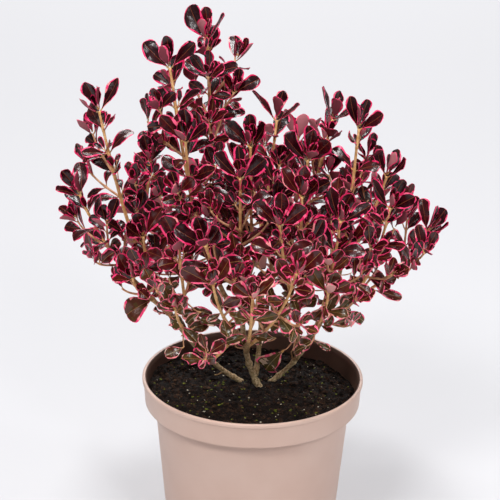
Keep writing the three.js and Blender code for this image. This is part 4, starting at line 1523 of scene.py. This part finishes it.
# %% Crumbs, fibres and grains
# Of each kind: how many, the least size, the range above it and its power, flatness, finishes.
CRUMB_KINDS = {
    "fine crumb": (3800, 0.5, 1.5, 3, 0.7, (0, 1, 2)),
    "coarse crumb": (420, 1.6, 1.8, 2, 0.6, (0, 1)),
    "perlite grain": (170, 0.4, 0.5, 2, 0.7, (3,)),
    "moss speck": (230, 0.6, 0.7, 1, 0.35, (4,)),
}
CRUMB_RIM = [(1, 0, 0), (0.3, 0.95, 0.1), (-0.8, 0.6, -0.1), (-0.85, -0.55, 0.1), (0.25, -0.95, -0.1)]
CRUMB = np.array(CRUMB_RIM + [(0, 0, 0.8), (0, 0, -0.8)])
CRUMB_SIDES = [(side, (side + 1) % 5) for side in range(5)]
CRUMB_FACES = np.array([(a, b, 5) for a, b in CRUMB_SIDES] + [(b, a, 6) for a, b in CRUMB_SIDES])
FIBRES = 420
FIBRE_RADII = (0.28, 0.14)
EDGE_CLEARANCE = 1.5
STEM_CLEARANCE = 4.5
crumb_shell = Shell()
scatter = seeded(11)
STEM_FEET = np.array([foot for foot, _ in STEMS.values()], float)


def place_on_peat():
    """A place on the peat, evenly spread and clear of the stems."""
    while True:
        r = (SOIL_EDGE_RADIUS - EDGE_CLEARANCE) * math.sqrt(next(scatter))
        t = next(scatter) * math.tau
        at = np.array([r * math.cos(t), r * math.sin(t)])
        if np.linalg.norm(STEM_FEET - at, axis=1).min() > STEM_CLEARANCE:
            return np.array([*at, peat_height(*at)])


def add_crumb(size, flatness, finish):
    """One lump, half sunk in the peat."""
    turn = next(scatter) * math.tau
    shape = CRUMB * size * np.array([1, 0.6 + 0.5 * next(scatter), flatness])
    shape = shape * (0.75 + 0.5 * np.array([[next(scatter)] for _ in range(7)]))
    spin = np.array([[math.cos(turn), math.sin(turn), 0], [-math.sin(turn), math.cos(turn), 0], [0, 0, 1]])
    at = place_on_peat() + UP * 0.15 * size
    crumb_shell.add(shape @ spin + at, triangles=CRUMB_FACES, triangle_finish=finish)


for count, least, more, power, flatness, finishes in CRUMB_KINDS.values():
    for _ in range(count):
        size = least + more * next(scatter) ** power
        chosen = int(next(scatter) * (len(finishes) - 0.01)) if len(finishes) > 1 else 0
        add_crumb(size, flatness, finishes[chosen])
for _ in range(FIBRES):
    start = place_on_peat()
    turn = next(scatter) * math.tau
    length = 2.5 + 6 * next(scatter) ** 2
    way = np.array([math.cos(turn), math.sin(turn), 0.25 * (next(scatter) - 0.5)]) * length
    fibre = Row(shoot_curve(start, start + way + UP * 0.4), 0, 1, 4)
    add_tube(crumb_shell, fibre, np.linspace(*FIBRE_RADII, 5), 4, finish=int(next(scatter) * 1.99) + 1)
print("crumbs have", crumb_shell.triangles(), "triangles")

# %% Peat materials


def peat_finish(name, tones, roughness=0.85):
    """Damp organic crumbs: two near-black browns in small patches, matte."""
    settings = {"Roughness": roughness, "IOR": 1.45, "Specular IOR Level": 0.2}
    return mottled_finish(name, tones, (0.4, 0.7), (1.8 * MM, 6.0, 0.7), (0.8, 0.5 * MM), settings)


peat_dark = peat_finish("damp_peat", ("#070403", "#241812"))
peat_brown = peat_finish("brown_peat_fibre", ("#150c08", "#3e2a1e"))
peat_light = peat_finish("dry_peat_crumb", ("#1d120c", "#59402e"))
perlite = peat_finish("perlite_grain", ("#c4bba4", "#fbf4e0"), 0.7)
moss = peat_finish("moss_speck", ("#39420f", "#97a22e"), 0.8)
peat_piece = make_piece("peat", peat_shell, [peat_dark])
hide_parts("soil")
crumb_materials = [peat_dark, peat_brown, peat_light, perlite, moss]
make_piece("peat_crumbs", crumb_shell, crumb_materials, smooth=False)

# %% [markdown]
# ## Floor and light
# The photograph was taken on a white sweep in soft light from all round: shadows are faint, and each
# glossy leaf carries a small bright patch with clear edges. Several small boxes, in front, above and
# at the sides, give both. One wide box far behind lights the sweep itself. The floor is a wide plain
# sheet that runs on past the picture.

# %% Floor
FLOOR_REACH = 6.0
floor_corners = [(x * FLOOR_REACH, y * FLOOR_REACH, 0) for x, y in ((-1, -1), (1, -1), (1, 1), (-1, 1))]
floor_mesh = bpy.data.meshes.new("floor")
floor_mesh.from_pydata(floor_corners, [], [(0, 1, 2, 3)])
floor_piece = bpy.data.objects.new("floor", floor_mesh)
bpy.context.scene.collection.objects.link(floor_piece)
paper, tree = new_material("white_paper_sweep")
surface(tree, {"Base Color": linear_colour("#c6c6c9"), "Roughness": 0.9})
floor_mesh.materials.append(paper)

# %% Lights


def softbox(name, at, aim, width, height, power):
    """A rectangular white light aimed at a point, in metres and watts."""
    data = bpy.data.lights.new(name, "AREA")
    data.shape = "RECTANGLE"
    data.size = width
    data.size_y = height
    data.energy = power
    light = bpy.data.objects.new(name, data)
    light.location = at
    light.rotation_euler = (Vector(aim) - Vector(at)).to_track_quat("-Z", "Y").to_euler()
    bpy.context.scene.collection.objects.link(light)


AIM = (0, 0, 0.22)
softbox("key_box", (-0.55, -1.35, 1.7), AIM, 0.4, 0.4, 19)
softbox("front_box", (0.5, -1.5, 1.4), AIM, 0.25, 0.25, 8)
softbox("boom_box", (-0.15, -0.55, 2.1), AIM, 0.35, 0.35, 19)
softbox("left_strip", (-1.4, -0.5, 1.2), AIM, 0.2, 0.8, 2.5)
softbox("right_strip", (1.4, -0.6, 1.2), AIM, 0.2, 0.8, 7)
softbox("top_box", (0.1, 0.5, 2.0), AIM, 0.4, 0.4, 13)
softbox("sweep_box", (0, 3.0, 2.1), (0, 2.3, 0), 3.0, 1.2, 95)
world = bpy.data.worlds.new("studio")
world.use_nodes = True
world.node_tree.nodes["Background"].inputs["Color"].default_value = linear_colour("#f4f3f7")
world.node_tree.nodes["Background"].inputs["Strength"].default_value = 0.15
bpy.context.scene.world = world
bpy.context.scene.view_settings.view_transform = "Standard"
print(len(bpy.data.lights), "soft boxes light the plant")
